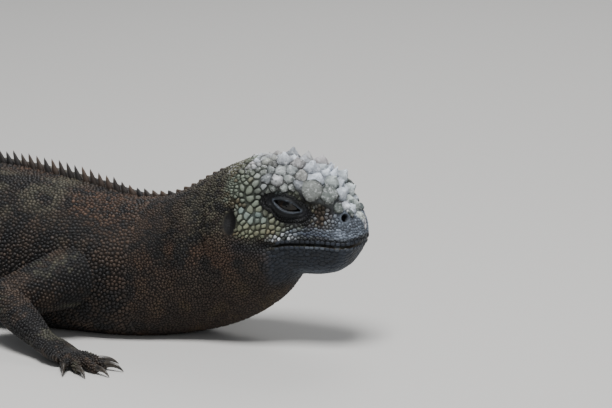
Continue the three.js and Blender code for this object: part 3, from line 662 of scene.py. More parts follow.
def ranged(add, texture, low, high, from_low=0.0, from_high=1.0):
    """A texture's factor, spread between two values."""
    spread = {"From Min": from_low, "From Max": from_high, "To Min": low, "To Max": high}
    return add("ShaderNodeMapRange", {"Value": texture.outputs["Fac"], **spread}).outputs["Result"]


def scaly_material(name, roughness, gloss, grain, depth, crust=0.0):
    """Skin or scales: the mesh's own tint, mottled, with a fine bump and, on the crown, a crust of salt."""
    material, shader, add, links = new_material(name, {"Specular IOR Level": gloss})
    where = add("ShaderNodeTexCoord").outputs["Object"]
    own = add("ShaderNodeAttribute", attribute_name="tint").outputs["Color"]
    mottle = add("ShaderNodeTexNoise", {"Vector": where, "Scale": grain * 0.25, "Detail": 4})
    spread = 0.55 + 0.5 * crust
    light = ranged(add, mottle, 1 - spread, 1 + spread)
    toned = add(
        "ShaderNodeMix",
        {"Factor": 1.0, 6: own, 7: light},
        data_type="RGBA",
        blend_type="MULTIPLY",
    )
    colour = toned.outputs[2]
    if crust:
        grains = {"Vector": where, "Scale": grain * 0.8, "Detail": 6, "Roughness": 0.7}
        share = ranged(add, add("ShaderNodeTexNoise", grains), 0, crust, 0.52, 0.7)
        salted = add("ShaderNodeMix", {"Factor": share, 6: colour, 7: SALT_CRUST}, data_type="RGBA")
        colour = salted.outputs[2]
    links.new(colour, shader.inputs["Base Color"])
    links.new(ranged(add, mottle, roughness - 0.12, roughness + 0.12), shader.inputs["Roughness"])
    fine = add("ShaderNodeTexNoise", {"Vector": where, "Scale": grain, "Detail": 5})
    relief = add("ShaderNodeBump", {"Height": fine.outputs["Fac"], "Strength": 0.7, "Distance": depth})
    links.new(relief.outputs["Normal"], shader.inputs["Normal"])
    return material


skin_material = scaly_material("iguana_skin", 0.6, 0.22, 1500, 0.0004)
coat_material = scaly_material("iguana_scales", 0.52, 0.32, 1800, 0.00018)
crown_material = scaly_material("iguana_crown", 0.82, 0.15, 1100, 0.0009, crust=0.7)


def eye_material():
    """A dark wet eye with a faint golden-brown iris round its pupil."""
    values = {"Roughness": 0.12, "Specular IOR Level": 0.2, "Coat Weight": 0.3, "Coat Roughness": 0.03}
    material, shader, add, links = new_material("iguana_eye", values)
    where = add("ShaderNodeTexCoord").outputs["Object"]
    split = add("ShaderNodeSeparateXYZ", {"Vector": where})
    flat = add("ShaderNodeCombineXYZ", {"X": split.outputs["X"], "Y": split.outputs["Y"]})
    away = add("ShaderNodeVectorMath", {0: flat.outputs["Vector"]}, operation="LENGTH")
    reach = {"Value": away.outputs["Value"], "From Max": EYE["radius"] * MM, "To Max": 1.0}
    ramp = add("ShaderNodeValToRGB", {"Fac": add("ShaderNodeMapRange", reach).outputs["Result"]})
    stops = ramp.color_ramp.elements
    stops[0].position, stops[0].color = 0.0, (0.002, 0.002, 0.002, 1)
    stops[1].position, stops[1].color = 1.0, (0.01, 0.008, 0.006, 1)
    for position, colour in (
        (0.24, (0.002, 0.002, 0.002, 1)),
        (0.30, (0.016, 0.009, 0.004, 1)),
        (0.52, (0.007, 0.0045, 0.003, 1)),
        (0.62, (0.005, 0.004, 0.003, 1)),
    ):
        stops.new(position).color = colour
    rays = add("ShaderNodeTexNoise", {"Vector": where, "Scale": 1400, "Detail": 3})
    toned = add(
        "ShaderNodeMix",
        {"Factor": 0.5, 6: ramp.outputs["Color"], 7: rays.outputs["Fac"]},
        data_type="RGBA",
        blend_type="MULTIPLY",
    )
    links.new(toned.outputs[2], shader.inputs["Base Color"])
    return material


def claw_material():
    """Dark horn, paler and streaked along the claw."""
    material, shader, add, links = new_material("iguana_claw", {"Roughness": 0.36})
    where = add("ShaderNodeTexCoord").outputs["Object"]
    streaks = add("ShaderNodeTexNoise", {"Vector": where, "Scale": 900, "Detail": 3, "Distortion": 0.6})
    ramp = add("ShaderNodeValToRGB", {"Fac": streaks.outputs["Fac"]})
    stops = ramp.color_ramp.elements
    stops[0].position, stops[0].color = 0.35, (0.012, 0.010, 0.009, 1)
    stops[1].position, stops[1].color = 0.75, (0.075, 0.062, 0.048, 1)
    links.new(ramp.outputs["Color"], shader.inputs["Base Color"])
    relief = add("ShaderNodeBump", {"Height": streaks.outputs["Fac"], "Strength": 0.4, "Distance": 0.0002})
    links.new(relief.outputs["Normal"], shader.inputs["Normal"])
    return material


# The skin
FINE_BACKS = 66
HEAD_RINGS = np.concatenate([[0.03, 0.12, 0.3], np.arange(0.55, FINE_BACKS, 0.36)])
TAIL_START = 292
BODY_RINGS = np.arange(FINE_BACKS + 0.4, TAIL_START, 1.0)
TAIL_RINGS = np.append(np.arange(TAIL_START + 0.5, BODY_LENGTH - 1, 1.4), BODY_LENGTH - 0.4)


def axial_skin():
    """Points, faces and flat map of the head, body and tail as one closed surface."""
    stretches = ((HEAD_RINGS, 336), (BODY_RINGS, 168), (TAIL_RINGS, 84))
    rings = [(back, count) for stretch, count in stretches for back in stretch]
    counts = np.array([count for _, count in rings])
    backs = np.repeat([back for back, _ in rings], counts)
    angles = np.concatenate([circle(count) - math.pi / 2 for count in counts])
    points = surface(backs, angles)
    starts = np.concatenate([[0], np.cumsum(counts)])
    quads, triangles = [], []
    for ring in range(len(rings) - 1):
        here, there = counts[ring], counts[ring + 1]
        first, second = starts[ring], starts[ring + 1]
        i = np.arange(there)
        after = (i + 1) % there
        if here == there:
            quads.append(np.stack([first + i, first + after, second + after, second + i], axis=1))
        else:
            middle, far = (2 * i + 1) % here, (2 * i + 2) % here
            triangles.append(np.stack([first + 2 * i, first + middle, second + i], axis=1))
            quads.append(np.stack([first + middle, first + far, second + after, second + i], axis=1))
    ends = []
    for ring, back in ((0, rings[0][0]), (len(rings) - 1, rings[-1][0])):
        ends.append(points[starts[ring] : starts[ring + 1]].mean(axis=0))
        i = np.arange(counts[ring])
        after = (i + 1) % counts[ring]
        middle = np.full(counts[ring], len(points) + len(ends) - 1)
        fan = [starts[ring] + after, starts[ring] + i, middle]
        triangles.append(np.stack(fan if ring == 0 else [fan[1], fan[0], fan[2]], axis=1))
    points = np.concatenate([points, ends])
    backs = np.concatenate([backs, [rings[0][0], rings[-1][0]]])
    angles = np.concatenate([angles, [0, 0]])
    return points, backs, angles, np.concatenate(quads), np.concatenate(triangles)


def limb_skin(bars):
    """Points and faces of a limb: its bars made one smooth surface."""
    points, faces, start = [], [], 0
    sides = 32
    for bar in bars.values():
        shares = bar.shares(1.0)
        angles = circle(sides)
        grid = bar.point(shares[:, None], angles[None, :]).reshape(-1, 3)
        ring, i = np.meshgrid(np.arange(len(shares) - 1), np.arange(sides), indexing="ij")
        corner = (start + ring * sides + i).ravel()
        after = (start + ring * sides + (i + 1) % sides).ravel()
        faces += np.stack([corner, after, after + sides, corner + sides], axis=1).tolist()
        end = start + len(grid)
        faces += [list(range(start + sides - 1, start - 1, -1)), list(range(end - sides, end))]
        points.append(grid)
        start = end
    mesh = bpy.data.meshes.new("limb")
    mesh.from_pydata((np.concatenate(points) * MM).tolist(), [], faces)
    limb = linked("limb", mesh)
    fuse = limb.modifiers.new("fuse", "REMESH")
    fuse.mode, fuse.voxel_size = "VOXEL", 0.6 * MM
    relax = limb.modifiers.new("relax", "SMOOTH")
    relax.factor, relax.iterations = 0.5, 3
    made = bpy.data.meshes.new_from_object(limb.evaluated_get(bpy.context.evaluated_depsgraph_get()))
    bpy.data.objects.remove(limb)
    fused = np.empty(len(made.vertices) * 3, dtype=np.float32)
    made.vertices.foreach_get("co", fused)
    corners = np.empty(len(made.loops), dtype=np.int32)
    made.loops.foreach_get("vertex_index", corners)
    quads = corners.reshape(-1, 4)
    bpy.data.meshes.remove(made)
    points = fused.reshape(-1, 3).astype(float) / MM
    points[:, 2] = np.maximum(points[:, 2], 0.05)
    return points, quads


def limb_tint(points):
    """The colour of the limbs: dark, with browner and greyer patches."""
    brown = smooth(0.4, 0.75, 0.5 * noise(points, 1.6, 2) + 0.5 * noise(points, 7, 1))
    grey = smooth(0.5, 0.7, noise(points, 9, 9)) * smooth(0.4, 0.65, noise(points, 1.6, 10))
    return mixed(mixed(DARK * 1.1, BROWN * 1.3, brown), OLIVE, 0.6 * grey)


def limb_uv(index, points):
    """Where places of a limb lie on the skin's flat map: a quarter of the strip below the body's."""
    flat = (points[:, :2] / 120) % 1 * 0.23
    return np.stack([0.01 + 0.245 * index + flat[:, 0], 0.01 + flat[:, 1]], axis=1)


def skin_shade(back, angle, points):
    """How light the skin is: dark with painted shade between the scales, and fully light where it is bare,
    at lids and ear.
    """
    crown, _, _, jaw, slit = zones(back, angle, points)
    between = 0.22 + 0.42 * jaw + 0.25 * smooth(12, 5, back) * (1 - crown)
    between = between - 0.12 * crown * smooth(14, 26, back)
    bare = np.maximum(smooth(3.6, 2.4, slit), smooth(1.2, 1, ear_share(back, points)))
    return between + (1 - between) * bare


chance = np.random.default_rng(7)
points, backs, angles, quads, skin_triangles = axial_skin()
tints = tint(backs, angles, points) * skin_shade(backs, angles, points)[:, None]
parts = [(points, tints, unwrapped(backs, angles), quads)]
limb_trees = {}
for index, (key, (bars, _)) in enumerate(LIMBS.items()):
    points, quads = limb_skin(bars)
    limb_trees[key] = BVHTree.FromPolygons((points * MM).tolist(), quads.tolist())
    start = sum(len(part[0]) for part in parts)
    # The limbs' skin is darkened: painted shade between the scales
    parts.append((points, limb_tint(points) * 0.35, limb_uv(index, points), quads + start))
points, tints, uvs, quads = (np.concatenate(group) for group in zip(*parts))
skin = new_mesh("skin", points, [quads, skin_triangles], tints, skin_material, uvs)
flesh = ["head", "lower_jaw", "neck", "torso_front", "torso_rear", "tail_1", "tail_2", "tail_3", "tail_4"]
for side in ("left", "right"):
    flesh += [f"{piece}_{side}" for piece in ("upper_arm", "forearm", "hand", "thigh", "shin", "foot")]
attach(skin, "root")
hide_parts(*flesh)


def within_solids(points):
    """Points kept inside the box of the solids, a hair above the floor."""
    low, high = (np.array(corner) / MM for corner in cad_box)
    return np.clip(points, np.maximum(low, [-np.inf, -np.inf, 0.02]), high)


# Scales
def cone(sides, rings):
    """A scale's points and faces on a unit base: rings of (size, height) and a tip at height 1."""
    turns = circle(sides)
    round_one = np.stack([np.cos(turns), np.sin(turns), np.ones(sides)], axis=1)
    points = np.concatenate([round_one * [size, size, high] for size, high in rings] + [[[0, 0, 1]]])
    faces = []
    for ring in range(len(rings) - 1):
        for i in range(sides):
            low, after = ring * sides + i, ring * sides + (i + 1) % sides
            faces += [[low, after, after + sides], [low, after + sides, low + sides]]
    top = (len(rings) - 1) * sides
    faces += [[top + i, top + (i + 1) % sides, len(points) - 1] for i in range(sides)]
    faces += [[0, i + 1, i] for i in range(1, sides - 1)]
    return points, np.array(faces)


TUBERCLE = cone(12, [(1, -0.4), (0.95, 0.1), (0.75, 0.28), (0.5, 0.5), (0.29, 0.73), (0.11, 0.93)])
DOME = cone(12, [(1, -0.6), (0.95, 0.3), (0.78, 0.76), (0.42, 0.96)])
GRANULE = cone(6, [(1, -0.6), (0.78, 0.6)])
PEBBLE = cone(5, [(1, -0.6), (0.7, 0.65)])
SPINE = cone(6, [(1, -0.35), (0.94, 0.06), (0.72, 0.4), (0.36, 0.76)])
NEIGHBOURS = 9  # that decide a scale's outline
MOST_TRIANGLES = 190000  # in one piece
FINE_SIDES = 36  # sides of an outline that is worked out in full


class Coat:
    """Scales of one shape gathered from many places and made into pieces of a size the export takes."""

    def __init__(self, name, shape, material, slot):
        self.name, self.shape, self.material, self.slot = name, shape, material, slot
        self.sides = int(round(2 * math.pi / np.arctan2(shape[0][1, 1], shape[0][1, 0])))
        self.rows = []

    def add(self, points, axes, sizes, tints, uvs, lean=None, wobble=0.0, edges=None, gaps=0.5, rough=None):
        """Scales at points, with axes (tailwards, across, outwards), half sizes (long, wide) and height.

        Edges, where given, are the distances to the scale's edge, in mm for each of its sides."""
        tailwards, across, outwards = axes
        count = len(points)
        if not count:
            return
        template, _ = self.shape
        jitter = 1 + wobble * (chance.random((count, len(template), 1)) - 0.5)
        local = template[None] * jitter
        if edges is not None:
            rings = (len(template) - 1) // self.sides
            around = np.concatenate([np.tile(edges, (1, rings)), edges[:, :1]], axis=1)
            local[:, :, :2] *= around[..., None]
        long, wide, high = (np.broadcast_to(size, count)[:, None, None] for size in sizes)
        made = (
            points[:, None]
            + local[:, :, :1] * long * tailwards[:, None]
            + local[:, :, 1:2] * wide * across[:, None]
            + local[:, :, 2:] * high * outwards[:, None]
        )
        if lean is not None:
            made = made + np.maximum(local[:, :, 2:], 0) * high * lean[:, None]
        if rough is not None:
            flatly = made.reshape(-1, 3)
            push = np.stack([noise(flatly, 0.75, seed) for seed in (21, 22, 23)], axis=1) - 0.5
            made = made + rough[:, None, None] * push.reshape(made.shape)
        made = within_solids(made)
        flat = uvs[:, None] + template[None, :, :2] * 0.0014
        # Painted shade: each scale darkens from its top down to its foot, where its lightness is the given
        # share
        gaps = np.reshape(gaps, (-1, 1, 1))
        shade = gaps + (1 - gaps) * smooth(-0.1, 0.85, template[None, :, 2:])
        self.rows.append((made, np.repeat(tints[:, None], len(template), axis=1) * shade, flat))

    def make(self):
        """The pieces, each riding on the root."""
        points, colours, uvs = (np.concatenate(group) for group in zip(*self.rows))
        _, faces = self.shape
        most = MOST_TRIANGLES // len(faces)
        for piece, start in enumerate(range(0, len(points), most)):
            part = slice(start, start + most)
            count = len(points[part])
            size = points.shape[1]
            every = (faces[None] + (np.arange(count) * size)[:, None, None]).reshape(-1, 3)
            made = new_mesh(
                f"{self.name}_{piece + 1}",
                points[part].reshape(-1, 3),
                [every],
                colours[part].reshape(-1, 3),
                self.material,
                uvs[part].reshape(-1, 2),
            )
            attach(made, "root")


def tree_of(points):
    """A search tree of points."""
    tree = KDTree(len(points))
    for i, point in enumerate(points):
        tree.insert(point, i)
    tree.balance()
    return tree


def cell_edges(points, tailwards, across, sizes, sides, most=1.4):
    """How far each scale may reach on each of its sides: halfway to its neighbours."""
    tree = tree_of(points)
    near = np.array([[j for _, j, _ in tree.find_n(point, NEIGHBOURS + 1)][1:] for point in points])
    away = points[near] - points[:, None]
    x, y = np.einsum("nkc,nc->nk", away, tailwards), np.einsum("nkc,nc->nk", away, across)
    apart = np.maximum(np.hypot(x, y), 1e-3)
    halfway = (apart**2 + sizes[:, None] ** 2 - sizes[near] ** 2) / (2 * apart)
    halfway = np.clip(halfway, 0.3 * apart, 0.7 * apart)
    turns = circle(sides)
    facing_it = (x[..., None] * np.cos(turns) + y[..., None] * np.sin(turns)) / apart[..., None]
    reach = np.where(facing_it > 0.05, halfway[..., None] / np.maximum(facing_it, 0.05), 99)
    return np.minimum(reach.min(axis=1), np.broadcast_to(most, len(sizes))[:, None] * sizes[:, None])


def scattered(points, spacing):
    """Indices of points left when each one taken, in order, clears those nearer than its spacing."""
    tree = tree_of(points)
    free = np.ones(len(points), bool)
    taken = []
    for i in range(len(points)):
        if free[i]:
            taken.append(i)
            for _, j, _ in tree.find_range(points[i], spacing[i]):
                free[j] = False
    return np.array(taken)


def rows_on_surface(backs, low, high, pitch, jitter):
    """Staggered rows across the body between two angles: the places and angles of the scales' middles."""
    all_backs, all_angles = [], []
    for row, back in enumerate(backs):
        angles = np.linspace(low, high, 240)
        points = body_point(back, angles)
        arc = lengths_along(points)
        count = max(int(arc[-1] / pitch), 1)
        marks = (np.arange(count) + (0.25 if row % 2 else 0.75)) / count
        marks = marks + jitter * (chance.random(count) - 0.5) / count
        all_angles.append(np.interp(marks * arc[-1], arc, angles))
        all_backs.append(back + pitch * jitter * (chance.random(count) - 0.5))
    return np.concatenate(all_backs), np.concatenate(all_angles)


def varied(tints, least, spread):
    """Tints with a lightness of its own for each scale."""
    return tints * (least + spread * chance.random((len(tints), 1)))


def angle_at(back, up, side):
    """The angle at which the body's surface is at a height, on the left (side 1) or right (side -1)."""
    angles = np.radians(np.linspace(-60, 60, 121))
    found = np.interp(up, body_point(back, angles)[:, 2], angles)
    return found if side > 0 else math.pi - found


crown_scales = Coat("tubercles_crown", TUBERCLE, crown_material, "crown_skin")
crown_shields = Coat("shields_crown", DOME, crown_material, "crown_skin")
face_plates = Coat("plates_face", DOME, coat_material, "crown_skin")
face_granules = Coat("scales_face", GRANULE, coat_material, "body_skin")
neck_scales = Coat("scales_neck", GRANULE, coat_material, "body_skin")
body_scales = Coat("scales_body", PEBBLE, coat_material, "body_skin")
tail_scales = Coat("scales_tail", GRANULE, coat_material, "body_skin")
limb_scales = Coat("scales_limbs", PEBBLE, coat_material, "limb_skin")
labials = Coat("plates_lips", DOME, coat_material, "crown_skin")
crest = Coat("crest", SPINE, coat_material, "body_skin")

FULL = (-math.pi / 2, 1.5 * math.pi)
FACE_END = 47  # where the scales of the face give way to the rows of the neck
TRUNK_START = 84  # where the rows of the neck give way to the pebbles of the trunk
NOSE_TRIES, FACE_TRIES = 16000, 100000  # places that are tried for the scales of the head

# The largest shields of the snout and brow, on both sides: back, angle, radius and height
LARGE_SHIELDS = [
    (17.4, 59, 2.9, 1.5),
    (11.3, 61, 2.5, 1.8),
    (7.6, 57, 1.8, 1.4),
    (8.1, 76, 2.6, 2.8),
    (4.4, 62, 1.8, 1.3),
    (4.9, 80, 2, 2),
    (11.4, 77, 2.7, 3.5),
    (15, 79, 2.9, 3.7),
    (19.4, 80, 3, 3.7),
    (25, 80, 2.4, 3.2),
    (30.5, 82, 2.7, 3.4),
]


def face_sizes(back, angle, points):
    """The radius and height of a scale by its place on the head."""
    crown, temple, cheek, jaw, slit = zones(back, angle, points)
    lumps = noise(points, 5, 3)
    radius = np.full(len(points), 0.52)
    height = np.full(len(points), 0.34)

    def zone(share, wide, tall):
        nonlocal radius, height
        radius = radius + (wide - radius) * share
        height = height + (tall - height) * share

    zone(smooth(30, 36, back), 0.46, 0.34)
    zone(smooth(12, 7, back), 0.5, 0.2)
    zone(bump(back, 12, 5) * bump(points[:, 2], 51.5, 3.5), 0.85, 0.5)
    zone(bump(back, 14, 11) * bump(points[:, 2], mouth_of(back) + 4.3, 2), 0.48, 0.12)
    zone(jaw, 0.7, 0.12)
    zone(cheek, np.interp(points[:, 2], [43, 46, 51], [0.72, 1.0, 1.3]), 0.6)
    zone(cheek * smooth(29, 24, back), 0.6, 0.42)
    zone(temple * smooth(47.5, 41, back + 5 * (lumps - 0.5)), 1.3, 0.8)
    zone(temple * smooth(41, 47.5, back + 5 * (lumps - 0.5)), 0.7, 0.5)
    zone(smooth(43, 48, back) * smooth(50, 56, points[:, 2]) * (1 - crown), 0.8, 0.5)
    zone(bump(back, 27.5, 3.6) * bump(points[:, 2], mouth_of(back) + 2, 1.5), 0.62, 0.5)
    inside = smooth(0, 16, np.degrees(np.arcsin(np.clip(np.sin(angle), -1, 1))) - 52)
    rise = np.interp(back, [0.5, 5, 9, 15, 20, 30, 40, 50], [0.3, 1.4, 2.5, 2.8, 2.6, 1.9, 1.2, 0.6])
    wide = np.interp(back, [2, 5, 9, 18, 26, 34, 42, 50], [0.8, 1.4, 2, 2.1, 1.8, 1.6, 1.3, 0.85])
    zone(crown, wide * (0.68 + 0.5 * lumps) * (0.8 + 0.2 * inside), rise * (0.55 + 0.45 * inside))
    zone(smooth(6, 4.2, slit), 0.36, 0.2)
    return radius, height


# Scales of the face and crown: the named shields first, then others where there is room
places = np.array([(back, turn) for back, angle, _, _ in LARGE_SHIELDS for turn in (angle, 180 - angle)])
shield_sizes = np.array([(radius, height) for _, _, radius, height in LARGE_SHIELDS for _ in range(2)])
nose_backs = 5 * chance.random(NOSE_TRIES) ** 2
face_backs = 5 + (FACE_END - 4) * chance.random(FACE_TRIES)
backs = np.concatenate([places[:, 0], nose_backs, face_backs])
turned = chance.random(len(backs) - len(places)) * 2 * math.pi - math.pi / 2
angles = np.concatenate([np.radians(places[:, 1]), turned])
points = surface(backs, angles)
radius, height = face_sizes(backs, angles, points)
crowned = zones(backs, angles, points)[0] > 0.5
radius = radius * (1 + np.where(crowned, 0.36, 0.18) * (2 * chance.random(len(radius)) - 1))
radius[: len(places)], height[: len(places)] = shield_sizes.T
taken = scattered(points, radius * 1.72)
backs, angles, points, radius, height = (group[taken] for group in (backs, angles, points, radius, height))
named = taken < len(places)

row_backs, row_angles = rows_on_surface(np.arange(FACE_END - 6, TRUNK_START, 0.9), *FULL, 0.98, 0.85)
keep_face = backs < FACE_END
keep_rows = row_backs > FACE_END
backs = np.concatenate([backs[keep_face], row_backs[keep_rows]])
angles = np.concatenate([angles[keep_face], row_angles[keep_rows]])
row_sizes = 0.46 + 0.12 * chance.random(keep_rows.sum())
radius = np.concatenate([radius[keep_face], row_sizes])
height = np.concatenate([height[keep_face], np.full(keep_rows.sum(), 0.36)])
named = np.concatenate([named[keep_face], np.zeros(keep_rows.sum(), bool)])
points, tailwards, across, outwards = frame_at(surface, backs, angles)

# Each scale's zone decides its shape, and its neighbours its outline
crown, temple, cheek, jaw, slit = zones(backs, angles, points)
line = np.abs(points[:, 2] - mouth_of(backs))
nostril_room = 1.35 + 0.3 * radius
stays = named | (nostril_distance(points) > nostril_room)
stays &= (slit > 2.6) & (ear_share(backs, points) > 1.1)
stays &= (line > 1.75) | (backs > MOUTH_CORNER - 1)
sideways = np.sign(np.cos(angles))
slope = np.radians(np.interp(points[:, 2], [43, 47, 52], [25, 40, 75]))
oval = cheek > 0.4
lip = (backs < 26) & (np.abs(points[:, 2] - mouth_of(backs) - 4.3) < 2)
even = (jaw > 0.5) | lip
spin = np.where(oval, -sideways * slope, 2 * math.pi * chance.random(len(points)) * ~even)[:, None]
first_axis = tailwards * np.cos(spin) + across * np.sin(spin)
second_axis = across * np.cos(spin) - tailwards * np.sin(spin)
edges = cell_edges(points, first_axis, second_axis, radius, FINE_SIDES, 1.4 + 0.5 * crown)
tints = varied(tint(backs, angles, points), 0.66, 0.68)
uvs = unwrapped(backs, angles)
shield = stays & named & (np.sin(angles) < math.sin(math.radians(70)))
on_crown = stays & ~shield & ((crown > 0.5) | named)
dome = stays & ~shield & ~on_crown & (((temple > 0.4) & (radius > 0.75)) | oval)
granule = stays & ~shield & ~on_crown & ~dome & (backs <= FACE_END)
neck = stays & ~shield & ~on_crown & ~dome & ~granule
soft = granule & even
granule = granule & ~even
tall = height * (0.6 + 0.8 * chance.random(len(points)))
tall[named] = height[named]
tints[shield] = mixed(tints[shield] * 0.6, SAGE, 0.5)
lean = 0.35 * tailwards + 0.5 * (chance.random((len(points), 1)) - 0.5) * across
astray = chance.random((len(points), 2))
crown_lean = tailwards * (astray[:, :1] * 0.9 - 0.5) + across * (astray[:, 1:] - 0.5) * 0.8
crown_lean[named] = 0.1 * tailwards[named]
# Painted shade at the feet of the crown's tubercles, deeper towards the back of the crown
crown_foot_shade = np.interp(backs, [12, 22, 32], [0.55, 0.42, 0.24])
# The dark column is how light each scale stays at its foot under painted shade
for coat, group, sides, gap, squeeze, dark, wobble, rough, leaning in (
    (crown_scales, on_crown, 12, -0.05, (1, 1), crown_foot_shade[on_crown], 0.16, 0.36, crown_lean),
    (crown_shields, shield, 12, 0.1, (1, 1), 0.2, 0.06, 0.12, crown_lean),
    (face_plates, dome, 12, 0.16, (1.12, 0.84), 0.05, 0.08, 0.18, lean * 0.5),
    (face_granules, granule, 6, 0.04, (1, 1), 0.2, 0.1, 0, lean * 0.6),
    (face_granules, soft, 6, 0.03, (1.3, 0.95), 0.66, 0.1, 0, lean * 0.3),
    (neck_scales, neck, 6, 0.07, (1, 1), 0.14, 0.1, 0, lean),
):
    coat.add(
        points[group],
        (first_axis[group], second_axis[group], outwards[group]),
        (*squeeze, tall[group]),
        tints[group],
        uvs[group],
        lean=leaning[group],
        wobble=wobble,
        edges=edges[group][:, :: FINE_SIDES // sides] - gap,
        gaps=dark,
        rough=rough * radius[group],
    )

# Plates of the upper and lower lips, in a row along each side of the mouth
LABIAL = 1.9  # from one plate to the next
turns = circle(12)
block = (np.abs(np.cos(turns)) ** 5 + np.abs(np.sin(turns)) ** 5) ** -0.2
for side, above in itertools.product((1, -1), (1, -1)):
    line = np.concatenate([np.arange(0.05, 3, 0.05), np.arange(3, MOUTH_CORNER - 1, 0.25)])
    turned = np.array([angle_at(back, mouth_of(back) + above * 1.1, side) for back in line])
    path = body_point(line, turned)
    run = lengths_along(path)
    marks = np.arange(LABIAL / 2, run[-1], LABIAL)
    marks = marks + 0.25 * (chance.random(len(marks)) - 0.5)
    backs, angles = np.interp(marks, run, line), np.interp(marks, run, turned)
    points, tailwards, across, outwards = frame_at(surface, backs, angles)
    pale = smooth(0.4, 0.65, noise(points, 2.5, 6))
    shades = (SLATE * 0.2, SLATE * 0.4) if above > 0 else (SLATE * 0.45, PALE_SLATE * 0.3)
    own = mixed(*shades, pale)
    labials.add(
        points,
        (tailwards, across, outwards),
        (LABIAL / 2 * 0.9, 0.62 if above > 0 else 0.5, 0.22),
        varied(own, 0.8, 0.4),
        unwrapped(backs, angles),
        edges=np.tile(block, (len(points), 1)),
        gaps=0.3,
    )

# Pebbles over the trunk
backs, angles = rows_on_surface(np.arange(TRUNK_START, TAIL_START, 1.3), *FULL, 1.5, 0.7)
points, tailwards, across, outwards = frame_at(surface, backs, angles)
size = 0.7 + 0.14 * chance.random(len(points))
edges = cell_edges(points, tailwards, across, size, 5)
body_scales.add(
    points,
    (tailwards, across, outwards),
    (1, 1, 0.5),
    varied(tint(backs, angles, points), 0.65, 0.7),
    unwrapped(backs, angles),
    lean=0.4 * tailwards,
    edges=edges - 0.03,
    gaps=0.3,
)

# Whorls of oblong scales round the tail
for back in np.arange(TAIL_START, BODY_LENGTH - 3, 2.1):
    pitch = max(0.7, 1.7 * float(half_width_of(back)) / 12)
    backs, angles = rows_on_surface([back], *FULL, pitch, 0.1)
    points, tailwards, across, outwards = frame_at(surface, backs, angles)
    tail_scales.add(
        points,
        (tailwards, across, outwards),
        (1.18, pitch * 0.52, 0.42),
        varied(tint(backs, angles, points), 0.65, 0.7),
        unwrapped(backs, angles),
        lean=0.4 * tailwards,
        gaps=0.3,
    )

# Pebbles over the limbs, set on the fused skin
for index, (key, (bars, _)) in enumerate(LIMBS.items()):
    tree = limb_trees[key]
    for name, bar in bars.items():
        pitch = 1.0 if name.startswith("digit") else 1.35
        for row, share in enumerate(bar.shares(pitch * 0.87)):
            reach = float(bar.across(np.clip(share, 0, 1)))
            count = max(5, int(2 * math.pi * reach / pitch))
            spots = np.arange(count) + (row % 2) / 2 + 0.4 * (chance.random(count) - 0.5)
            turns = spots * 2 * math.pi / count
            ideal = bar.point(share + 0.3 * pitch / bar.length * (chance.random(count) - 0.5), turns)
            found = [tree.find_nearest(Vector(point * MM)) for point in ideal]
            near = np.array([hit[3] / MM < 0.9 for hit in found])
            if not near.any():
                continue
            points = np.array([hit[0] for hit in found])[near] / MM
            outwards = np.array([hit[1] for hit in found])[near]
            length = unit(bar.middle(np.array([share + 0.02])) - bar.middle(np.array([share - 0.02])))
            across = unit(np.cross(outwards, length))
            tailwards = np.cross(across, outwards)
            half = pitch * (0.46 + 0.1 * chance.random(len(points)))
            limb_scales.add(
                points,
                (tailwards, across, outwards),
                (half, half, 0.42),
                varied(limb_tint(points), 0.65, 0.7),
                limb_uv(index, points),
                lean=0.3 * tailwards,
                gaps=0.3,
            )

# The crest down the back
crest_height = curve(
    [(52, 0.4), (68, 0.8), (84, 2.2), (102, 4.4), (122, 5.2), (150, 4.8), (200, 4.4), (262, 3.4),
     (300, 3.8), (420, 3.8), (560, 2.8), (BODY_LENGTH, 1.2)]
)
back = 57.0
while back < BODY_LENGTH - 4:
    step = float(np.interp(back, [50, 80, 250, 420, BODY_LENGTH], [2.6, 3.4, 3.8, 4.6, 4.2]))
    tall = float(crest_height(back)) * (0.88 + 0.24 * chance.random())
    point, tailwards, across, outwards = (
        np.array([axis]) for axis in frame_at(surface, np.array(back), np.array(math.pi / 2))
    )
    crest.add(
        point,
        (tailwards, across, outwards),
        (step * 0.52, min(1.1, 0.5 + tall * 0.12), tall + COAT),
        mixed(DARK * 1.8, BROWN * 2, chance.random())[None],
        unwrapped(np.array([back]), np.array([math.pi / 2])),
        lean=0.5 * tailwards,
        gaps=0.35,
    )
    back += step

for coat in (
    crown_scales, crown_shields, face_plates, face_granules, neck_scales,
    body_scales, tail_scales, limb_scales, labials, crest,
):
    coat.make()


# Eyes
EYE_SIDES, EYE_RINGS = 48, 33
eye_gloss = eye_material()
for side, name in ((1, "left"), (-1, "right")):
    centre, along_axis, across_axis, outwards = EYES[side]
    mesh = bpy.data.meshes.new(f"eyeball_{name}")
    tilts = np.linspace(0.02, math.pi - 0.02, EYE_RINGS)
    turns, tilts = np.meshgrid(circle(EYE_SIDES), tilts, indexing="ij")
    ball = np.stack([np.sin(tilts) * np.cos(turns), np.sin(tilts) * np.sin(turns), np.cos(tilts)], axis=-1)
    grid = np.arange(EYE_SIDES * EYE_RINGS).reshape(EYE_SIDES, EYE_RINGS)
    after = np.roll(grid, -1, axis=0)
    quads = np.stack([grid[:, :-1], grid[:, 1:], after[:, 1:], after[:, :-1]], axis=-1)
    faces = [*quads.reshape(-1, 4).tolist(), grid[::-1, 0].tolist(), grid[:, -1].tolist()]
    mesh.from_pydata((ball.reshape(-1, 3) * EYE["radius"] * MM).tolist(), [], faces)
    mesh.polygons.foreach_set("use_smooth", [True] * len(mesh.polygons))
    mesh.materials.append(eye_gloss)
    eyeball = linked(f"eyeball_{name}", mesh)
    axes = Matrix([along_axis, across_axis, outwards]).transposed()
    if axes.determinant() < 0:
        axes = Matrix([along_axis, -across_axis, outwards]).transposed()
    eyeball.matrix_world = Matrix.Translation(Vector(centre * MM)) @ axes.to_4x4()
    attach(eyeball, "root")
    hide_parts(f"eye_{name}")


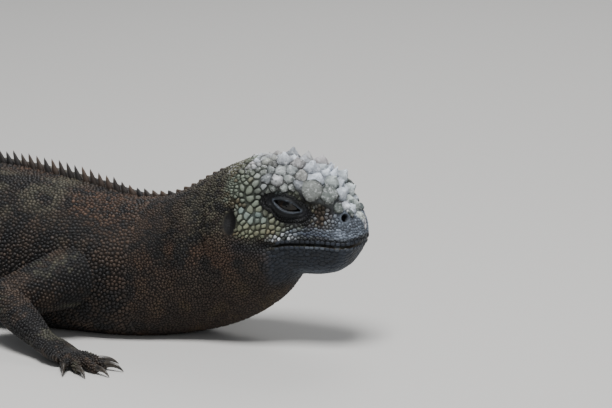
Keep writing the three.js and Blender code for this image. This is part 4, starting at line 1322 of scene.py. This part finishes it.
# Claws
horn = claw_material()
CLAW_SIDES = 14
length = CLAW["length"]
CLAW_LINE = ((-2.2, -0.2), (length * 0.55, length * 0.22), (length, -length * 0.24))
for (kind, side), (_, claws) in LIMBS.items():
    for i, (root, way) in enumerate(claws):
        shares = np.linspace(0, 1, CLAW_SIDES)[:, None]
        start, bend, end = (root + way * along + [0, 0, up] for along, up in CLAW_LINE)
        line = start * (1 - shares) ** 2 + 2 * bend * shares * (1 - shares) + end * shares**2
        tangent = unit(np.gradient(line, axis=0))
        sideways = np.array([-way[1], way[0], 0])
        up = np.cross(tangent, sideways)
        radius = CLAW["radius"] * (1 - shares) ** 0.7 + 0.03
        turns = circle(CLAW_SIDES)
        ring = (
            line[:, None]
            + (np.cos(turns)[None, :, None] * radius[:, None] * 0.8) * sideways
            + (np.sin(turns)[None, :, None] * radius[:, None]) * -up[:, None]
        )
        points = within_solids(ring.reshape(-1, 3))
        grid = np.arange(CLAW_SIDES**2).reshape(CLAW_SIDES, CLAW_SIDES)
        after = np.roll(grid, -1, axis=1)
        quads = np.stack([grid[:-1], after[:-1], after[1:], grid[1:]], axis=-1).reshape(-1, 4)
        tipped = np.stack([np.roll(grid[-1], -1), grid[-1], np.full(CLAW_SIDES, CLAW_SIDES**2)], axis=1)
        points = np.concatenate([points, line[-1:]])
        digit = "finger" if kind == "fore" else "toe"
        white = np.ones((len(points), 3))
        claw = new_mesh(f"{digit}_horn_{side}_{i + 1}", points, [quads, tipped], white, horn)
        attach(claw, "root")
        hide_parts(f"{digit}_claw_{side}_{i + 1}")


# Floor, light and camera
def floor_and_light():
    """A plain pale floor under soft studio light."""
    mesh = bpy.data.meshes.new("floor")
    mesh.from_pydata([(-8, -8, 0), (8, -8, 0), (8, 8, 0), (-8, 8, 0)], [], [(0, 1, 2, 3)])
    floor = linked("floor", mesh)
    material, _, _, _ = new_material("floor", {"Base Color": (0.55, 0.54, 0.52, 1), "Roughness": 0.9})
    mesh.materials.append(material)
    world = bpy.data.worlds.new("studio")
    bpy.context.scene.world = world
    world.use_nodes = True
    world.node_tree.nodes["Background"].inputs["Color"].default_value = (0.9, 0.94, 1, 1)
    world.node_tree.nodes["Background"].inputs["Strength"].default_value = 0.26
    head = Vector(place(25, 0, 45)[:] * MM)
    for name, spot, size, energy in (
        ("key", (0.15, -0.35, 1.1), 0.45, 20.0),
        ("fill", (1.0, -0.9, 0.4), 0.9, 3.0),
        ("rim", (-0.3, 0.9, 0.8), 0.6, 5.0),
    ):
        light = bpy.data.lights.new(name, "AREA")
        light.size, light.energy = size, energy
        lamp = linked(name, light)
        lamp.location = head + Vector(spot)
        lamp.rotation_mode = "QUATERNION"
        lamp.rotation_quaternion = (head - lamp.location).to_track_quat("-Z", "Y")


def aim_camera():
    """The photo's view, from the right front and a little above, with the tip of the snout at its pixel."""
    azimuth, elevation = math.radians(30), math.radians(12)
    lens, sensor, distance = 200, 36, 1.261
    snout_pixel, frame_size = (366, 238), (612, 408)
    level = math.cos(elevation)
    back = Vector((math.sin(azimuth) * level, -math.cos(azimuth) * level, math.sin(elevation)))
    right = Vector((math.cos(azimuth), math.sin(azimuth), 0))
    up = back.cross(right)
    metres_per_pixel = sensor / lens * distance / frame_size[0]
    aside = (snout_pixel[0] - frame_size[0] / 2) * metres_per_pixel
    above = (frame_size[1] / 2 - snout_pixel[1]) * metres_per_pixel
    snout = Vector((SNOUT[0] * MM, SNOUT[1] * MM, LIP_HEIGHT * MM))
    data = bpy.data.cameras.new("camera")
    data.lens, data.sensor_width = lens, sensor
    camera = linked("camera", data)
    turn = Matrix((right, up, back)).transposed().to_4x4()
    camera.matrix_world = Matrix.Translation(snout + back * distance - right * aside - up * above) @ turn
    bpy.context.scene.camera = camera


floor_and_light()
aim_camera()
